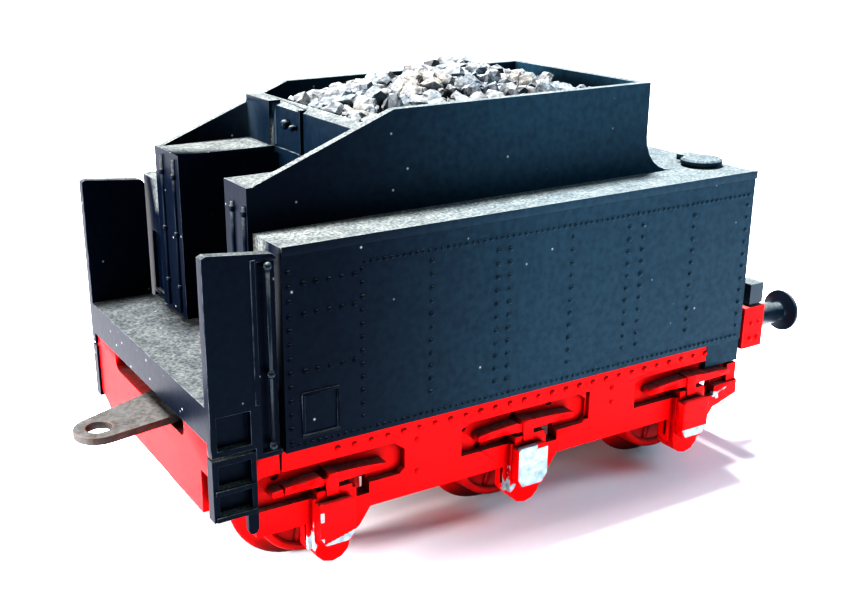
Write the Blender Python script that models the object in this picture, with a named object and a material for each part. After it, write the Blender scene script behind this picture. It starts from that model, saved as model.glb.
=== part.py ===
"""H0 model of a three-axle steam locomotive tender, as an assembly of separate parts.

All sizes below are in millimetres. x runs from the front edge of the footplate to the
buffers, y across the model and z up from the lower edge of the tank. placed() moves them
to the part's frame, whose origin is on the rails' plane, under the middle, and finished()
scales each finished piece to metres.
"""
import bpy
import bmesh
import random
from math import cos, pi, radians, sin
from mathutils import Matrix, Vector

MM = 0.001
GAP = 0.3                      # clearance kept between neighbouring parts

# wheels and axles
AXLE_X = (12.0, 34.3, 56.6)
AXLE_Z = -8.43
AXLE_RADIUS = 1.0
TREAD_RADIUS = 5.75
FLANGE_RADIUS = 7.2
BACK_TO_BACK = 14.3
WHEEL_WIDTH = 3.6
HUB_RADIUS = 2.0

# where the part's origin lies
MIDDLE_X = 35.4
RAIL_Z = AXLE_Z - FLANGE_RADIUS

# tank and deck
TANK_X = (6.94, 62.1)
TANK_HALF = 16.5
TANK_TOP = 18.6
WALL = 1.2
BEAD = 0.2

# brackets of the tank that reach down behind the last wheels, to the rear beam
BRACKET_X = (59.5, 64.4)
BRACKET_Y = (11.7, 14.4)
BRACKET_Z = (-3.7, 2.2)

# weight inside the tank
BALLAST_X = (19.0, 58.0)
BALLAST_HALF = 12.0
BALLAST_Z = (0.0, 7.0)

# bunker, lockers and the alcove between them
BUNKER_X = (6.5, 51.5)
BUNKER_HALF = 11.17
BUNKER_WALL = 0.9
BUNKER_TOP = 27.98
SHOULDER_Z = 22.7
KNEE_X = 21.1
COVE_RADIUS = 3.8
LOCKER_TOP = 22.6
ALCOVE_Y = (-6.4, 4.75)
GATE_X = (17.2, 18.4)
GATE_TOP = 27.0
BUNKER_FLOOR = 19.6

# footplate, cab sides and steps
FLOOR_Z = (2.26, 5.64)
CAB_X = (0.0, TANK_X[0] - GAP)
CAB_TOP = 18.9
CAB_SIDE = 1.05
STEP_X = (0.0, 4.1)
STEP_Z = (-4.85, 0.9)

# underframe
FRAME_X = (1.6, 64.4)
FRAME_HALF = 14.66
FRAME_SIDE = 1.5
FRAME_TOP = -GAP
FRAME_BOTTOM = -8.6
DECK_PLATE = 0.6
KEEL_HALF = 5.8
KEEL_X = (4.5, 57.5)
KEEL_BOTTOM = -9.5
KEEPER_Z = (-10.6, KEEL_BOTTOM - GAP)
SCREW_X = (23.1, 45.5)
SCREW_RADIUS = 0.7
SCREW_HEAD = 1.5
HOLE_RADIUS = 1.0

# drawbar
DRAWBAR_PIVOT_X = 11.8
DRAWBAR_REACH = 18.9
DRAWBAR_Z = (0.6, 1.35)
DRAWBAR_SWING = 17.2           # degrees towards -y, as it lies at rest
EYE_RADIUS = 1.2
SLOT_HALF = 9.5

# rear beam, buffers and coupling
BEAM_X = (FRAME_X[1] + GAP, 67.8)
BEAM_Z = (-2.5, 2.4)
BUFFER_Y = 10.4
BUFFER_Z = -1.0
BUFFER_END = 76.4
BUFFER_HEAD = 2.45
COUPLER_PIVOT_X = 61.0
COUPLER_Z = (-4.8, -3.6)
LOOP_PIVOT_X = 74.0
LOOP_END = 79.35

SIDES = (('left', -1), ('right', 1))


def placed(x, y, z):
    """A point in the part's frame, still in millimetres."""
    return Vector((x - MIDDLE_X, y, z - RAIL_Z))


def clear_scene():
    for old in list(bpy.data.objects):
        bpy.data.objects.remove(old)


def material(name, colour, roughness, metallic=0.0):
    made = bpy.data.materials.new(name)
    made.use_nodes = True
    made.diffuse_color = (*colour, 1.0)
    shader = made.node_tree.nodes['Principled BSDF']
    shader.inputs['Base Color'].default_value = (*colour, 1.0)
    shader.inputs['Roughness'].default_value = roughness
    shader.inputs['Metallic'].default_value = metallic
    return made


def new_object(name, shape, origin=(0.0, 0.0, 0.0)):
    """Turns a bmesh into an object whose origin is at origin."""
    bmesh.ops.recalc_face_normals(shape, faces=shape.faces)
    bmesh.ops.translate(shape, verts=shape.verts, vec=-Vector(origin))
    mesh = bpy.data.meshes.new(name)
    shape.to_mesh(mesh)
    shape.free()
    made = bpy.data.objects.new(name, mesh)
    made.location = origin
    bpy.context.scene.collection.objects.link(made)
    return made


def block(x, y, z):
    """A box between the pairs x, y and z."""
    shape = bmesh.new()
    bmesh.ops.create_cube(shape, size=1.0)
    low = placed(min(x), min(y), min(z))
    high = placed(max(x), max(y), max(z))
    for vert in shape.verts:
        for axis in range(3):
            vert.co[axis] = high[axis] if vert.co[axis] > 0 else low[axis]
    return new_object('block', shape)


def plate_xz(outline, y):
    """An outline of (x, z) points, extruded between the pair y."""
    return extruded([placed(x, min(y), z) for x, z in outline], (0, max(y) - min(y), 0))


def plate_xy(outline, z):
    """An outline of (x, y) points, extruded between the pair z."""
    return extruded([placed(x, y, min(z)) for x, y in outline], (0, 0, max(z) - min(z)))


def plate_yz(outline, x):
    """An outline of (y, z) points, extruded between the pair x."""
    return extruded([placed(min(x), y, z) for y, z in outline], (max(x) - min(x), 0, 0))


def extruded(points, depth):
    shape = bmesh.new()
    face = shape.faces.new([shape.verts.new(point) for point in points])
    grown = bmesh.ops.extrude_face_region(shape, geom=[face])
    moved = [item for item in grown['geom'] if isinstance(item, bmesh.types.BMVert)]
    bmesh.ops.translate(shape, verts=moved, vec=Vector(depth))
    return new_object('plate', shape)


def arc(centre, radius, start, end, steps=6):
    """Points on an arc, with its angles in degrees."""
    points = []
    for step in range(steps + 1):
        angle = radians(start + (end - start) * step / steps)
        points.append((centre[0] + radius * cos(angle), centre[1] + radius * sin(angle)))
    return points


def turned(centre, axis, profile, segments=24, name='turned'):
    """A profile of (along, radius) points, turned about an axis through centre.

    A profile that starts and ends on the axis gives a solid, any other one a ring.
    """
    shape = bmesh.new()
    along = {'X': Vector((1, 0, 0)), 'Y': Vector((0, 1, 0)), 'Z': Vector((0, 0, 1))}[axis]
    side = {'X': Vector((0, 1, 0)), 'Y': Vector((0, 0, 1)), 'Z': Vector((1, 0, 0))}[axis]
    origin = placed(*centre)
    closed = profile[0][1] > 0
    rings = []
    for distance, radius in profile:
        middle = origin + along * distance
        if radius == 0:
            rings.append([shape.verts.new(middle)] * segments)
            continue
        ring = []
        for step in range(segments):
            spoke = Matrix.Rotation(2 * pi * step / segments, 3, along) @ side
            ring.append(shape.verts.new(middle + spoke * radius))
        rings.append(ring)
    pairs = list(zip(rings, rings[1:]))
    if closed:
        pairs.append((rings[-1], rings[0]))
    for first, second in pairs:
        for step in range(segments):
            after = (step + 1) % segments
            corners = [first[step], first[after], second[after], second[step]]
            shape.faces.new(list(dict.fromkeys(corners)))
    return new_object(name, shape, origin)


def pin(centre, axis, radius, length, segments=16):
    """A plain cylinder that starts at centre."""
    ring = arc((0, 0), radius, 0, 360, segments)[:-1]
    origin = placed(*centre)
    if axis == 'X':
        return extruded([origin + Vector((0, u, v)) for u, v in ring], (length, 0, 0))
    if axis == 'Y':
        return extruded([origin + Vector((v, 0, u)) for u, v in ring], (0, length, 0))
    return extruded([origin + Vector((u, v, 0)) for u, v in ring], (0, 0, length))


def bake(body):
    """Replaces an object's mesh by its evaluated one."""
    depsgraph = bpy.context.evaluated_depsgraph_get()
    mesh = bpy.data.meshes.new_from_object(body.evaluated_get(depsgraph))
    body.modifiers.clear()
    body.data = mesh


def combined(operation, body, tools):
    for tool in tools:
        step = body.modifiers.new(operation.lower(), 'BOOLEAN')
        step.operation = operation
        step.solver = 'EXACT'
        step.object = tool
        bake(body)
        bpy.data.objects.remove(tool)
    return body


def joined(body, *tools):
    return combined('UNION', body, tools)


def cut(body, *tools):
    return combined('DIFFERENCE', body, tools)


def finished(name, body, finish, smooth=False):
    """Names a piece, scales it to metres and gives it its material."""
    body.name = name
    body.data.name = name
    body.data.transform(Matrix.Scale(MM, 4))
    body.location *= MM
    body.data.materials.clear()
    body.data.materials.append(finish)
    if smooth:
        body.data.shade_smooth()
        body.data.set_sharp_from_angle(angle=radians(40))
    return body


def mirrored(side, low, high):
    """A pair of y values on one side of the model."""
    return (side * low, side * high)


# ---------------------------------------------------------------- body

def bunker_outline():
    """Side view of the bunker: sloped front, level top and a cove down to the deck."""
    slope_foot = (BUNKER_X[0] + 1.3, SHOULDER_Z + 0.2)
    corner = arc((BUNKER_X[0] + 1.5, SHOULDER_Z - 1.3), 1.5, 180, 110, 4)
    base = TANK_TOP - 0.6
    centre = (BUNKER_X[1] + COVE_RADIUS, TANK_TOP + COVE_RADIUS)
    cove = arc(centre, COVE_RADIUS, 180, 270, 6)
    top = [(KNEE_X, BUNKER_TOP), (BUNKER_X[1], BUNKER_TOP)]
    front = [(BUNKER_X[0], base)] + corner + [slope_foot]
    return front + top + cove + [(BUNKER_X[1] + COVE_RADIUS, base)]


def tank_shell(finish):
    """Tank, deck, lockers and bunker walls, one moulding that is open below."""
    inside_half = TANK_HALF - WALL
    shell = block(TANK_X, (-TANK_HALF, TANK_HALF), (0, TANK_TOP))
    cavity_x = (TANK_X[0] + WALL, TANK_X[1] - WALL)
    cavity = block(cavity_x, (-inside_half, inside_half), (-1, TANK_TOP - WALL))
    footplate_way = block((0, 10), (-inside_half, inside_half), (-1, FLOOR_Z[1] + GAP))
    shell = cut(shell, cavity, footplate_way)

    lockers = (BUNKER_X[0], GATE_X[1])
    locker_z = (FLOOR_Z[1] + GAP, LOCKER_TOP)
    for low, high in ((-BUNKER_HALF, ALCOVE_Y[0]), (ALCOVE_Y[1], BUNKER_HALF)):
        joined(shell, block(lockers, (low, high), locker_z))
    joined(shell, block(GATE_X, (-7, 6), (FLOOR_Z[1] + GAP, TANK_TOP - 0.3)))

    bunker = plate_xz(bunker_outline(), (-BUNKER_HALF, BUNKER_HALF))
    inner = BUNKER_HALF - BUNKER_WALL
    ahead = block((0, GATE_X[0]), (-inner, inner), (LOCKER_TOP, 40))
    hollow = block((GATE_X[1], BUNKER_X[1] - BUNKER_WALL), (-inner, inner), (BUNKER_FLOOR, 40))
    gate_top = block((GATE_X[0] - 1, GATE_X[1] + 1), (-inner, inner), (GATE_TOP, 40))
    joined(shell, cut(bunker, ahead, hollow, gate_top))

    alcove = block((0, GATE_X[0]), ALCOVE_Y, (-1, 40))
    cut(shell, alcove)
    post_z = (LOCKER_TOP - 0.4, GATE_TOP)
    post = block((GATE_X[0] - 0.8, GATE_X[0] + 0.5), (5.0, inner + 0.2), post_z)
    ledge_z = (LOCKER_TOP - 0.7, LOCKER_TOP - 0.1)
    ledge = block((GATE_X[0] - 0.4, GATE_X[0] + 0.5), (ALCOVE_Y[0] - 0.3, ALCOVE_Y[1] + 0.3), ledge_z)
    rib = block((GATE_X[0] - 0.35, GATE_X[0] + 0.5), (-0.9, -0.5), (LOCKER_TOP - 0.4, GATE_TOP - 0.2))
    joined(shell, post, ledge, rib)

    for _, side in SIDES:
        bead_y = mirrored(side, TANK_HALF - 0.4, TANK_HALF + BEAD)
        joined(shell, block((TANK_X[0] + 0.05, TANK_X[1] - 0.05), bead_y, (17.9, 18.7)))

        joined(shell, block(BRACKET_X, mirrored(side, *BRACKET_Y), BRACKET_Z))
    bar_half = BRACKET_Y[1] - 0.2
    joined(shell, block((TANK_X[1] - 0.6, BRACKET_X[1]), (-bar_half, bar_half), (0.3, 2.0)))

    for x in SCREW_X:
        boss = pin((x, 0, 2.0), 'Z', 2.2, TANK_TOP - WALL - 1.5)
        joined(shell, boss)
        cut(shell, pin((x, 0, 1.0), 'Z', HOLE_RADIUS, 9.0))
    return finished('tank_shell', shell, finish)


def footplate(finish):
    """Cab floor with the two cab side plates, which stand up like wings."""
    floor = block(CAB_X, (-TANK_HALF, TANK_HALF), FLOOR_Z)
    under_tank = TANK_HALF - WALL - GAP
    joined(floor, block((CAB_X[1] - 0.5, 9.6), (-under_tank, under_tank), FLOOR_Z))
    alcove = (ALCOVE_Y[0] + GAP, ALCOVE_Y[1] - GAP)
    joined(floor, block((9.0, GATE_X[0] - GAP), alcove, (3.4, FLOOR_Z[1])))
    for _, side in SIDES:
        outline = [(STEP_X[0], STEP_Z[1] + GAP), (STEP_X[1], STEP_Z[1] + GAP)]
        outline += [(STEP_X[1], 0.1), (CAB_X[1], 0.1)]
        outline += arc((CAB_X[1] - 0.6, CAB_TOP - 1.2), 0.6, 0, 90, 3)
        outline += [(0.4, CAB_TOP), (0.0, CAB_TOP - 0.2)]
        joined(floor, plate_xz(outline, mirrored(side, TANK_HALF - CAB_SIDE, TANK_HALF)))
        channel = block((4.8, 8), mirrored(side, TANK_HALF - 0.5, TANK_HALF + 1), (0.6, 17.7))
        pocket = block((0.6, 3.7), mirrored(side, TANK_HALF - 0.7, TANK_HALF + 1), (1.75, 4.8))
        cut(floor, channel, pocket)
        rib = block((4.2, 4.65), mirrored(side, TANK_HALF - 0.4, TANK_HALF + 0.15), (5.2, 18.0))
        joined(floor, rib)
    pivot_room = pin((DRAWBAR_PIVOT_X, 0, 0), 'Z', 2.2, 3.6)
    cut(floor, pivot_room)
    return finished('footplate', floor, finish)


def steps(name, side, finish):
    """The lower two steps, a separate piece under the cab side."""
    inner = TANK_HALF - 1.2
    body = block(STEP_X, mirrored(side, inner, TANK_HALF), STEP_Z)
    for low, high in ((-1.8, 0.35), (-4.35, -2.4)):
        cut(body, block((0.55, 3.6), mirrored(side, TANK_HALF - 0.8, TANK_HALF + 1), (low, high)))
    tread_y = mirrored(side, TANK_HALF - 0.3, TANK_HALF + BEAD)
    for z in (-2.1, -4.6):
        joined(body, block((0.2, 3.95), tread_y, (z - 0.2, z + 0.2)))
    tab = [(3.3, -4.4), (3.3, -6.7)] + arc((3.8, -6.7), 0.5, 180, 360, 4) + [(4.3, -4.4)]
    joined(body, plate_xz(tab, mirrored(side, inner + 0.2, inner + 0.8)))
    return finished(name, body, finish)


def coal_load(finish):
    """The coal heap, an insert that drops into the bunker."""
    x_low = GATE_X[1] + GAP
    x_high = BUNKER_X[1] - BUNKER_WALL - GAP
    half = BUNKER_HALF - BUNKER_WALL - GAP
    columns = 22
    rows = 12
    lumps = random.Random(7)
    shape = bmesh.new()
    top = []
    bottom = []
    for i in range(columns + 1):
        along = i / columns
        x = x_low + (x_high - x_low) * along
        crest = 25.6 + 4.2 * sin(pi * min(1.0, along * 0.5 / 0.66)) ** 0.9
        crest = min(crest, 25.2 + 9.0 * (1 - along) + 0.9)
        upper = []
        lower = []
        for j in range(rows + 1):
            y = -half + 2 * half * j / rows
            edge = 1 - abs(y / half) ** 2.2
            z = 25.2 + (crest - 25.2) * edge + lumps.uniform(-0.35, 0.35)
            upper.append(shape.verts.new(placed(x, y, z)))
            lower.append(shape.verts.new(placed(x, y, BUNKER_FLOOR + GAP)))
        top.append(upper)
        bottom.append(lower)
    for i in range(columns):
        for j in range(rows):
            shape.faces.new((top[i][j], top[i + 1][j], top[i + 1][j + 1], top[i][j + 1]))
    base = [bottom[0][0], bottom[0][-1], bottom[-1][-1], bottom[-1][0]]
    rim = [row[0] for row in top] + top[-1][1:] + [row[-1] for row in reversed(top[:-1])]
    rim += list(reversed(top[0][1:-1]))
    shape.faces.new(base)
    corners = {top[0][0]: base[0], top[-1][0]: base[3], top[-1][-1]: base[2], top[0][-1]: base[1]}
    order = [index for index, vert in enumerate(rim) if vert in corners]
    for first, second in zip(order, order[1:] + [len(rim)]):
        edge = rim[first:second] + [rim[second % len(rim)]]
        shape.faces.new(edge + [corners[edge[-1]], corners[edge[0]]])
    for row in bottom:
        for vert in row:
            if vert not in base:
                shape.verts.remove(vert)
    return finished('coal_load', new_object('coal_load', shape), finish)


def ballast_weight(finish):
    """Steel slab on the underframe, with clear holes round the screw bosses."""
    body = block(BALLAST_X, (-BALLAST_HALF, BALLAST_HALF), BALLAST_Z)
    for x in SCREW_X:
        cut(body, pin((x, 0, -1), 'Z', 2.2 + GAP, 22))
    return finished('ballast_weight', body, finish)


def filler_lid(name, side, finish):
    """Round water filler lid on the rear of the deck, with its hinge block."""
    middle = (59.4, side * 11.3, TANK_TOP + GAP)
    body = turned(middle, 'Z', [(0, 0), (0, 2.2), (0.35, 2.2), (0.55, 1.9), (0.6, 0)], 20)
    hinge_z = (TANK_TOP + GAP, TANK_TOP + GAP + 0.6)
    joined(body, block((58.4, 60.4), mirrored(side, 8.6, 10.2), hinge_z))
    return finished(name, body, finish)


def handrail(name, side, finish):
    """Upright grab rail in the channel between cab side and tank, on three knobs."""
    x = 5.7
    y = side * (TANK_HALF + 0.1)
    rail = pin((x, y, 0.9), 'Z', 0.22, 16.4, 10)
    for z in (1.2, 7.8, 17.0):
        profile = [(-0.42, 0), (-0.3, 0.3), (0, 0.42), (0.3, 0.3), (0.42, 0)]
        joined(rail, turned((x, y, z), 'Z', profile, 10))
    return finished(name, rail, finish)


# ---------------------------------------------------------------- underframe

def window_outline(axle):
    """The recess over a leaf spring, with a sloped top corner at each end."""
    left = axle - 7.6
    right = axle + 8.2
    return [(left, -6.1), (left, -3.2), (left + 1.0, -2.7), (right - 1.2, -2.7), (right, -3.6),
            (right, -5.6), (right - 0.6, -6.1)]


def side_frame_outline():
    """Side view of one frame side, cut away below between the axleboxes."""
    points = [(FRAME_X[0], FRAME_TOP), (FRAME_X[0], -5.2), (4.6, -5.2), (4.6, FRAME_BOTTOM)]
    for axle in AXLE_X:
        points += [(axle - 2.3, FRAME_BOTTOM), (axle - 2.3, -11.3), (axle + 1.9, -11.3)]
        points += [(axle + 3.2, -10.3), (axle + 4.4, FRAME_BOTTOM)]
    points += [(FRAME_X[1], -7.6), (FRAME_X[1], FRAME_TOP)]
    return points


def spring_and_box(frame, axle, side):
    """Adds one leaf spring with its buckle and its axlebox to a frame side."""
    spring = []
    for step in range(9):
        x = -5.9 + 11.8 * step / 8
        spring.append((axle + x, -4.2 + 0.35 * (1 - (x / 5.9) ** 2)))
    lower = [(x, z - 0.55 - 0.55 * (1 - abs(x - axle) / 5.9)) for x, z in reversed(spring)]
    outer = FRAME_HALF + 0.55
    joined(frame, plate_xz(spring + lower, mirrored(side, FRAME_HALF - 0.9, outer)))
    buckle = block((axle - 0.6, axle + 0.6), mirrored(side, FRAME_HALF - 0.9, outer + 0.25), (-5.9, -3.7))
    guide = block((axle - 1.5, axle + 2.1), mirrored(side, FRAME_HALF - 0.9, outer + 0.1), (-6.9, -5.3))
    cover = [(axle - 1.75, -6.4), (axle - 1.75, -9.7)]
    cover += arc((axle - 0.75, -9.7), 1.0, 180, 270, 3)
    cover += arc((axle + 0.75, -9.7), 1.0, 270, 360, 3)
    cover += [(axle + 1.75, -6.4)]
    joined(frame, buckle, guide, plate_xz(cover, mirrored(side, FRAME_HALF - 0.5, FRAME_HALF + 1.6)))
    housing = [(axle - 1.9, -6.0), (axle - 1.9, -11.0)] + arc((axle, -11.0), 1.9, 180, 360, 6)[1:]
    housing += [(axle + 1.9, -6.0)]
    joined(frame, plate_xz(housing, mirrored(side, FRAME_HALF - 2.0, FRAME_HALF + 0.5)))


def chassis_frame(finish):
    """Underframe casting: deck plate, keel with axle slots, sides and front beam."""
    plate_half = FRAME_HALF - 0.1
    frame = block(FRAME_X, (-plate_half, plate_half), (FRAME_TOP - DECK_PLATE, FRAME_TOP))
    joined(frame, block(KEEL_X, (-KEEL_HALF, KEEL_HALF), (KEEL_BOTTOM, FRAME_TOP - 0.2)))
    for _, side in SIDES:
        side_y = mirrored(side, FRAME_HALF - FRAME_SIDE, FRAME_HALF)
        joined(frame, plate_xz(side_frame_outline(), side_y))
        for axle in AXLE_X:
            recess = mirrored(side, FRAME_HALF - 0.8, FRAME_HALF + 1)
            cut(frame, plate_xz(window_outline(axle), recess))
            spring_and_box(frame, axle, side)
        flange_y = mirrored(side, FRAME_HALF - 0.4, FRAME_HALF + 0.35)
        flange_z = (FRAME_TOP - 0.35, FRAME_TOP - 0.02)
        joined(frame, block((TANK_X[0] + 0.4, TANK_X[1] - 3), flange_y, flange_z))
    end_z = (-6.4, FRAME_TOP - 0.2)
    rear = block((FRAME_X[1] - 1.4, FRAME_X[1]), (-FRAME_HALF + 0.3, FRAME_HALF - 0.3), end_z)
    cut(rear, block((60, 66), (-5.5, 5.5), (-7, -2.8)))
    for start in (-11.3, 6.8):
        cut(rear, pin((AXLE_X[-1], start, AXLE_Z), 'Y', FLANGE_RADIUS + GAP, 4.5, 32))
    joined(frame, rear)
    boss_foot = COUPLER_Z[1] + GAP
    joined(frame, pin((COUPLER_PIVOT_X, 0, boss_foot), 'Z', 1.8, FRAME_TOP - GAP - boss_foot))
    front_beam(frame)
    for _, side in SIDES:
        way_y = mirrored(side, BRACKET_Y[0] - GAP, FRAME_HALF + 1)
        cut(frame, block((BRACKET_X[0] - GAP, FRAME_X[1] + 1), way_y, (BRACKET_Z[0] - GAP, 1)))
    for axle in AXLE_X:
        slot_top = AXLE_Z + AXLE_RADIUS + GAP
        slot = (axle - AXLE_RADIUS - GAP, axle + AXLE_RADIUS + GAP)
        cut(frame, block(slot, (-KEEL_HALF - 1, KEEL_HALF + 1), (-20, slot_top)))
    for x in SCREW_X:
        cut(frame, pin((x, 0, -20), 'Z', HOLE_RADIUS, 21))
    spacer = pin((DRAWBAR_PIVOT_X, 0, FRAME_TOP - 0.3), 'Z', 2.0, DRAWBAR_Z[0] - FRAME_TOP)
    joined(frame, spacer)
    cut(frame, pin((DRAWBAR_PIVOT_X, 0, -4), 'Z', HOLE_RADIUS, 6))
    cut(frame, pin((COUPLER_PIVOT_X, 0, -20), 'Z', HOLE_RADIUS, 18.6))
    return finished('chassis_frame', frame, finish)


def front_beam(frame):
    """The red beam under the footplate, with the long slot for the drawbar."""
    top = FLOOR_Z[0] - GAP
    outline = [(-13.2, -5.4), (-13.2, -1.2), (-15.2, -1.2), (-15.2, top)]
    outline += [(15.2, top), (15.2, -4.3), (12.6, -5.5)]
    beam = plate_yz(outline, (0.25, 1.3))
    joined(beam, block((1.0, 2.6), (-14.9, 14.9), (-5.2, top - 0.2)))
    slot = [(-SLOT_HALF, top + 1), (-SLOT_HALF, 1.0)] + arc((-SLOT_HALF + 0.8, 1.1), 0.8, 190, 270, 3)
    slot += arc((SLOT_HALF - 0.8, 1.1), 0.8, 270, 350, 3) + [(SLOT_HALF, top + 1)]
    cut(beam, plate_yz(slot, (-1, 4)))
    joined(frame, beam)


def keeper_plate(finish):
    """Flat plate that closes the axle slots from below; the screw heads sit in its round holes."""
    body = block((KEEL_X[0] + 0.5, KEEL_X[1] - 0.5), (-KEEL_HALF, KEEL_HALF), KEEPER_Z)
    for x in SCREW_X:
        cut(body, pin((x, 0, -20), 'Z', SCREW_HEAD + GAP, 21))
    return finished('keeper_plate', body, finish)


def screw(name, centre, head_radius, head_height, shank, upward, finish):
    """Cheese-head screw; centre is where the head meets what it holds."""
    way = 1 if upward else -1
    profile = [(-way * head_height, 0), (-way * head_height, head_radius), (0, head_radius)]
    profile += [(0, SCREW_RADIUS), (way * shank, SCREW_RADIUS), (way * shank, 0)]
    body = turned(centre, 'Z', profile, 16)
    outer = centre[2] - way * head_height
    slot_z = (outer - way * 1.0, outer + way * 0.35)
    across = head_radius + 1
    cut(body, block((centre[0] - 0.2, centre[0] + 0.2), (centre[1] - across, centre[1] + across), slot_z))
    return finished(name, body, finish)


def wheelset(number, axle, red, steel):
    """An axle with a wheel at each end, all turning together."""
    half = BACK_TO_BACK / 2
    end = half + WHEEL_WIDTH
    profile = [(-end, 0), (-end, 0.8), (-end + 0.2, AXLE_RADIUS)]
    profile += [(end - 0.2, AXLE_RADIUS), (end, 0.8), (end, 0)]
    shaft = turned((axle, 0, AXLE_Z), 'Y', profile, 16)
    finished(f'axle_{number}', shaft, steel, smooth=True)
    for name, side in SIDES:
        bore = AXLE_RADIUS + GAP
        rim = TREAD_RADIUS - 1.1
        across = [(0, bore), (0, 6.3), (0.2, 6.9), (0.45, FLANGE_RADIUS), (0.75, 6.9)]
        across += [(1.0, TREAD_RADIUS + 0.1), (WHEEL_WIDTH - 0.2, TREAD_RADIUS - 0.12)]
        across += [(WHEEL_WIDTH, TREAD_RADIUS - 0.4)]
        across += [(WHEEL_WIDTH, rim), (2.3, rim - 0.2), (2.3, HUB_RADIUS + 0.2), (WHEEL_WIDTH, HUB_RADIUS)]
        across += [(WHEEL_WIDTH, bore)]
        profile = [(side * (half + along), radius) for along, radius in across]
        wheel = turned((axle, 0, AXLE_Z), 'Y', profile, 32)
        finished(f'wheel_{number}_{name}', wheel, red, smooth=True)


# ---------------------------------------------------------------- couplings and buffers

def drawbar(finish):
    """Flat steel link with an eye, tapered towards its tip, swinging on a screw."""
    tip = -DRAWBAR_REACH
    outline = arc((tip, 0), 2.3, 95, 265, 10)
    outline += [(-11.5, -3.2), (-3.0, -3.2)] + arc((0, 0), 2.6, -60, 60, 8)
    outline += [(-3.0, 3.2), (-11.5, 3.2)]
    pivot = placed(DRAWBAR_PIVOT_X, 0, DRAWBAR_Z[0])
    bar = plate_xy([(DRAWBAR_PIVOT_X + x, y) for x, y in outline], DRAWBAR_Z)
    cut(bar, pin((DRAWBAR_PIVOT_X + tip, 0, -2), 'Z', EYE_RADIUS, 6, 20))
    cut(bar, pin((DRAWBAR_PIVOT_X, 0, -2), 'Z', HOLE_RADIUS, 6))
    bar.data.transform(Matrix.Translation(-pivot))
    bar.location = pivot
    bar.rotation_euler.z = radians(DRAWBAR_SWING)
    return finished('drawbar', bar, finish)


def rear_beam(finish):
    """Buffer beam with blind holes for the two buffers."""
    body = block(BEAM_X, (-FRAME_HALF, FRAME_HALF), BEAM_Z)
    for _, side in SIDES:
        cut(body, pin((BEAM_X[1] - 2.6, side * BUFFER_Y, BUFFER_Z), 'X', HOLE_RADIUS + 0.2, 6))
    return finished('rear_beam', body, finish)


def buffer(name, side, finish):
    """Round buffer with its spigot in the beam."""
    start = BEAM_X[1] - 2.2
    collar = BEAM_X[1] + GAP - start
    end = BUFFER_END - start
    profile = [(0, 0), (0, 0.9), (collar, 0.9), (collar, 1.75), (collar + 0.7, 1.75)]
    profile += [(collar + 0.8, 1.35), (end - 1.5, 1.35), (end - 1.1, 1.9)]
    profile += [(end - 0.9, BUFFER_HEAD), (end - 0.5, BUFFER_HEAD)]
    profile += [(end - 0.25, 1.9), (end - 0.07, 1.0), (end, 0)]
    body = turned((start, side * BUFFER_Y, BUFFER_Z), 'X', profile, 24)
    return finished(name, body, finish, smooth=True)


def lamp(name, side, finish):
    """Square rear lamp on the end of the buffer beam, recessed for its lens."""
    z = (BEAM_Z[1] + GAP, 5.0)
    body = block((65.4, 67.4), mirrored(side, 12.3, 14.5), z)
    cut(body, pin((67.0, side * 13.4, 3.9), 'X', 0.8, 2.0, 12))
    return finished(name, body, finish)


def lamp_lens(name, side, finish):
    profile = [(0, 0), (0, 0.5), (0.25, 0.5), (0.45, 0.3), (0.5, 0)]
    body = turned((67.3, side * 13.4, 3.9), 'X', profile, 12)
    return finished(name, body, finish, smooth=True)


def coupler_arm(finish):
    """Swinging coupling bar with its hook and the two stubs of the loop."""
    z = COUPLER_Z
    outline = arc((COUPLER_PIVOT_X, 0), 2.0, 60, 300, 10)
    outline += [(LOOP_PIVOT_X - 1.5, -1.1), (LOOP_PIVOT_X - 1.5, -2.2), (LOOP_PIVOT_X + 1.4, -2.2)]
    outline += [(LOOP_PIVOT_X + 1.4, 2.2), (LOOP_PIVOT_X - 1.5, 2.2), (LOOP_PIVOT_X - 1.5, 1.1)]
    arm = plate_xy(outline, z)
    tip = LOOP_PIVOT_X + 3.4
    hook = [(LOOP_PIVOT_X + 0.6, z[0] + 0.1), (tip, z[0] + 0.1), (tip + 0.3, z[1] + 1.3)]
    hook += [(tip - 0.7, z[1] + 1.6), (tip - 1.0, z[1] - 0.1), (LOOP_PIVOT_X + 0.6, z[1] - 0.1)]
    joined(arm, plate_xz(hook, (-0.6, 0.6)))
    middle = (z[0] + z[1]) / 2
    for _, side in SIDES:
        start = (LOOP_PIVOT_X, side * 1.6, middle)
        joined(arm, pin(start, 'Y', 0.45, side * 2.3, 12))
    cut(arm, pin((COUPLER_PIVOT_X, 0, z[0] - 1), 'Z', HOLE_RADIUS, 4))
    pivot = placed(COUPLER_PIVOT_X, 0, middle)
    arm.data.transform(Matrix.Translation(-pivot))
    arm.location = pivot
    return finished('coupler_arm', arm, finish)


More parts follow.
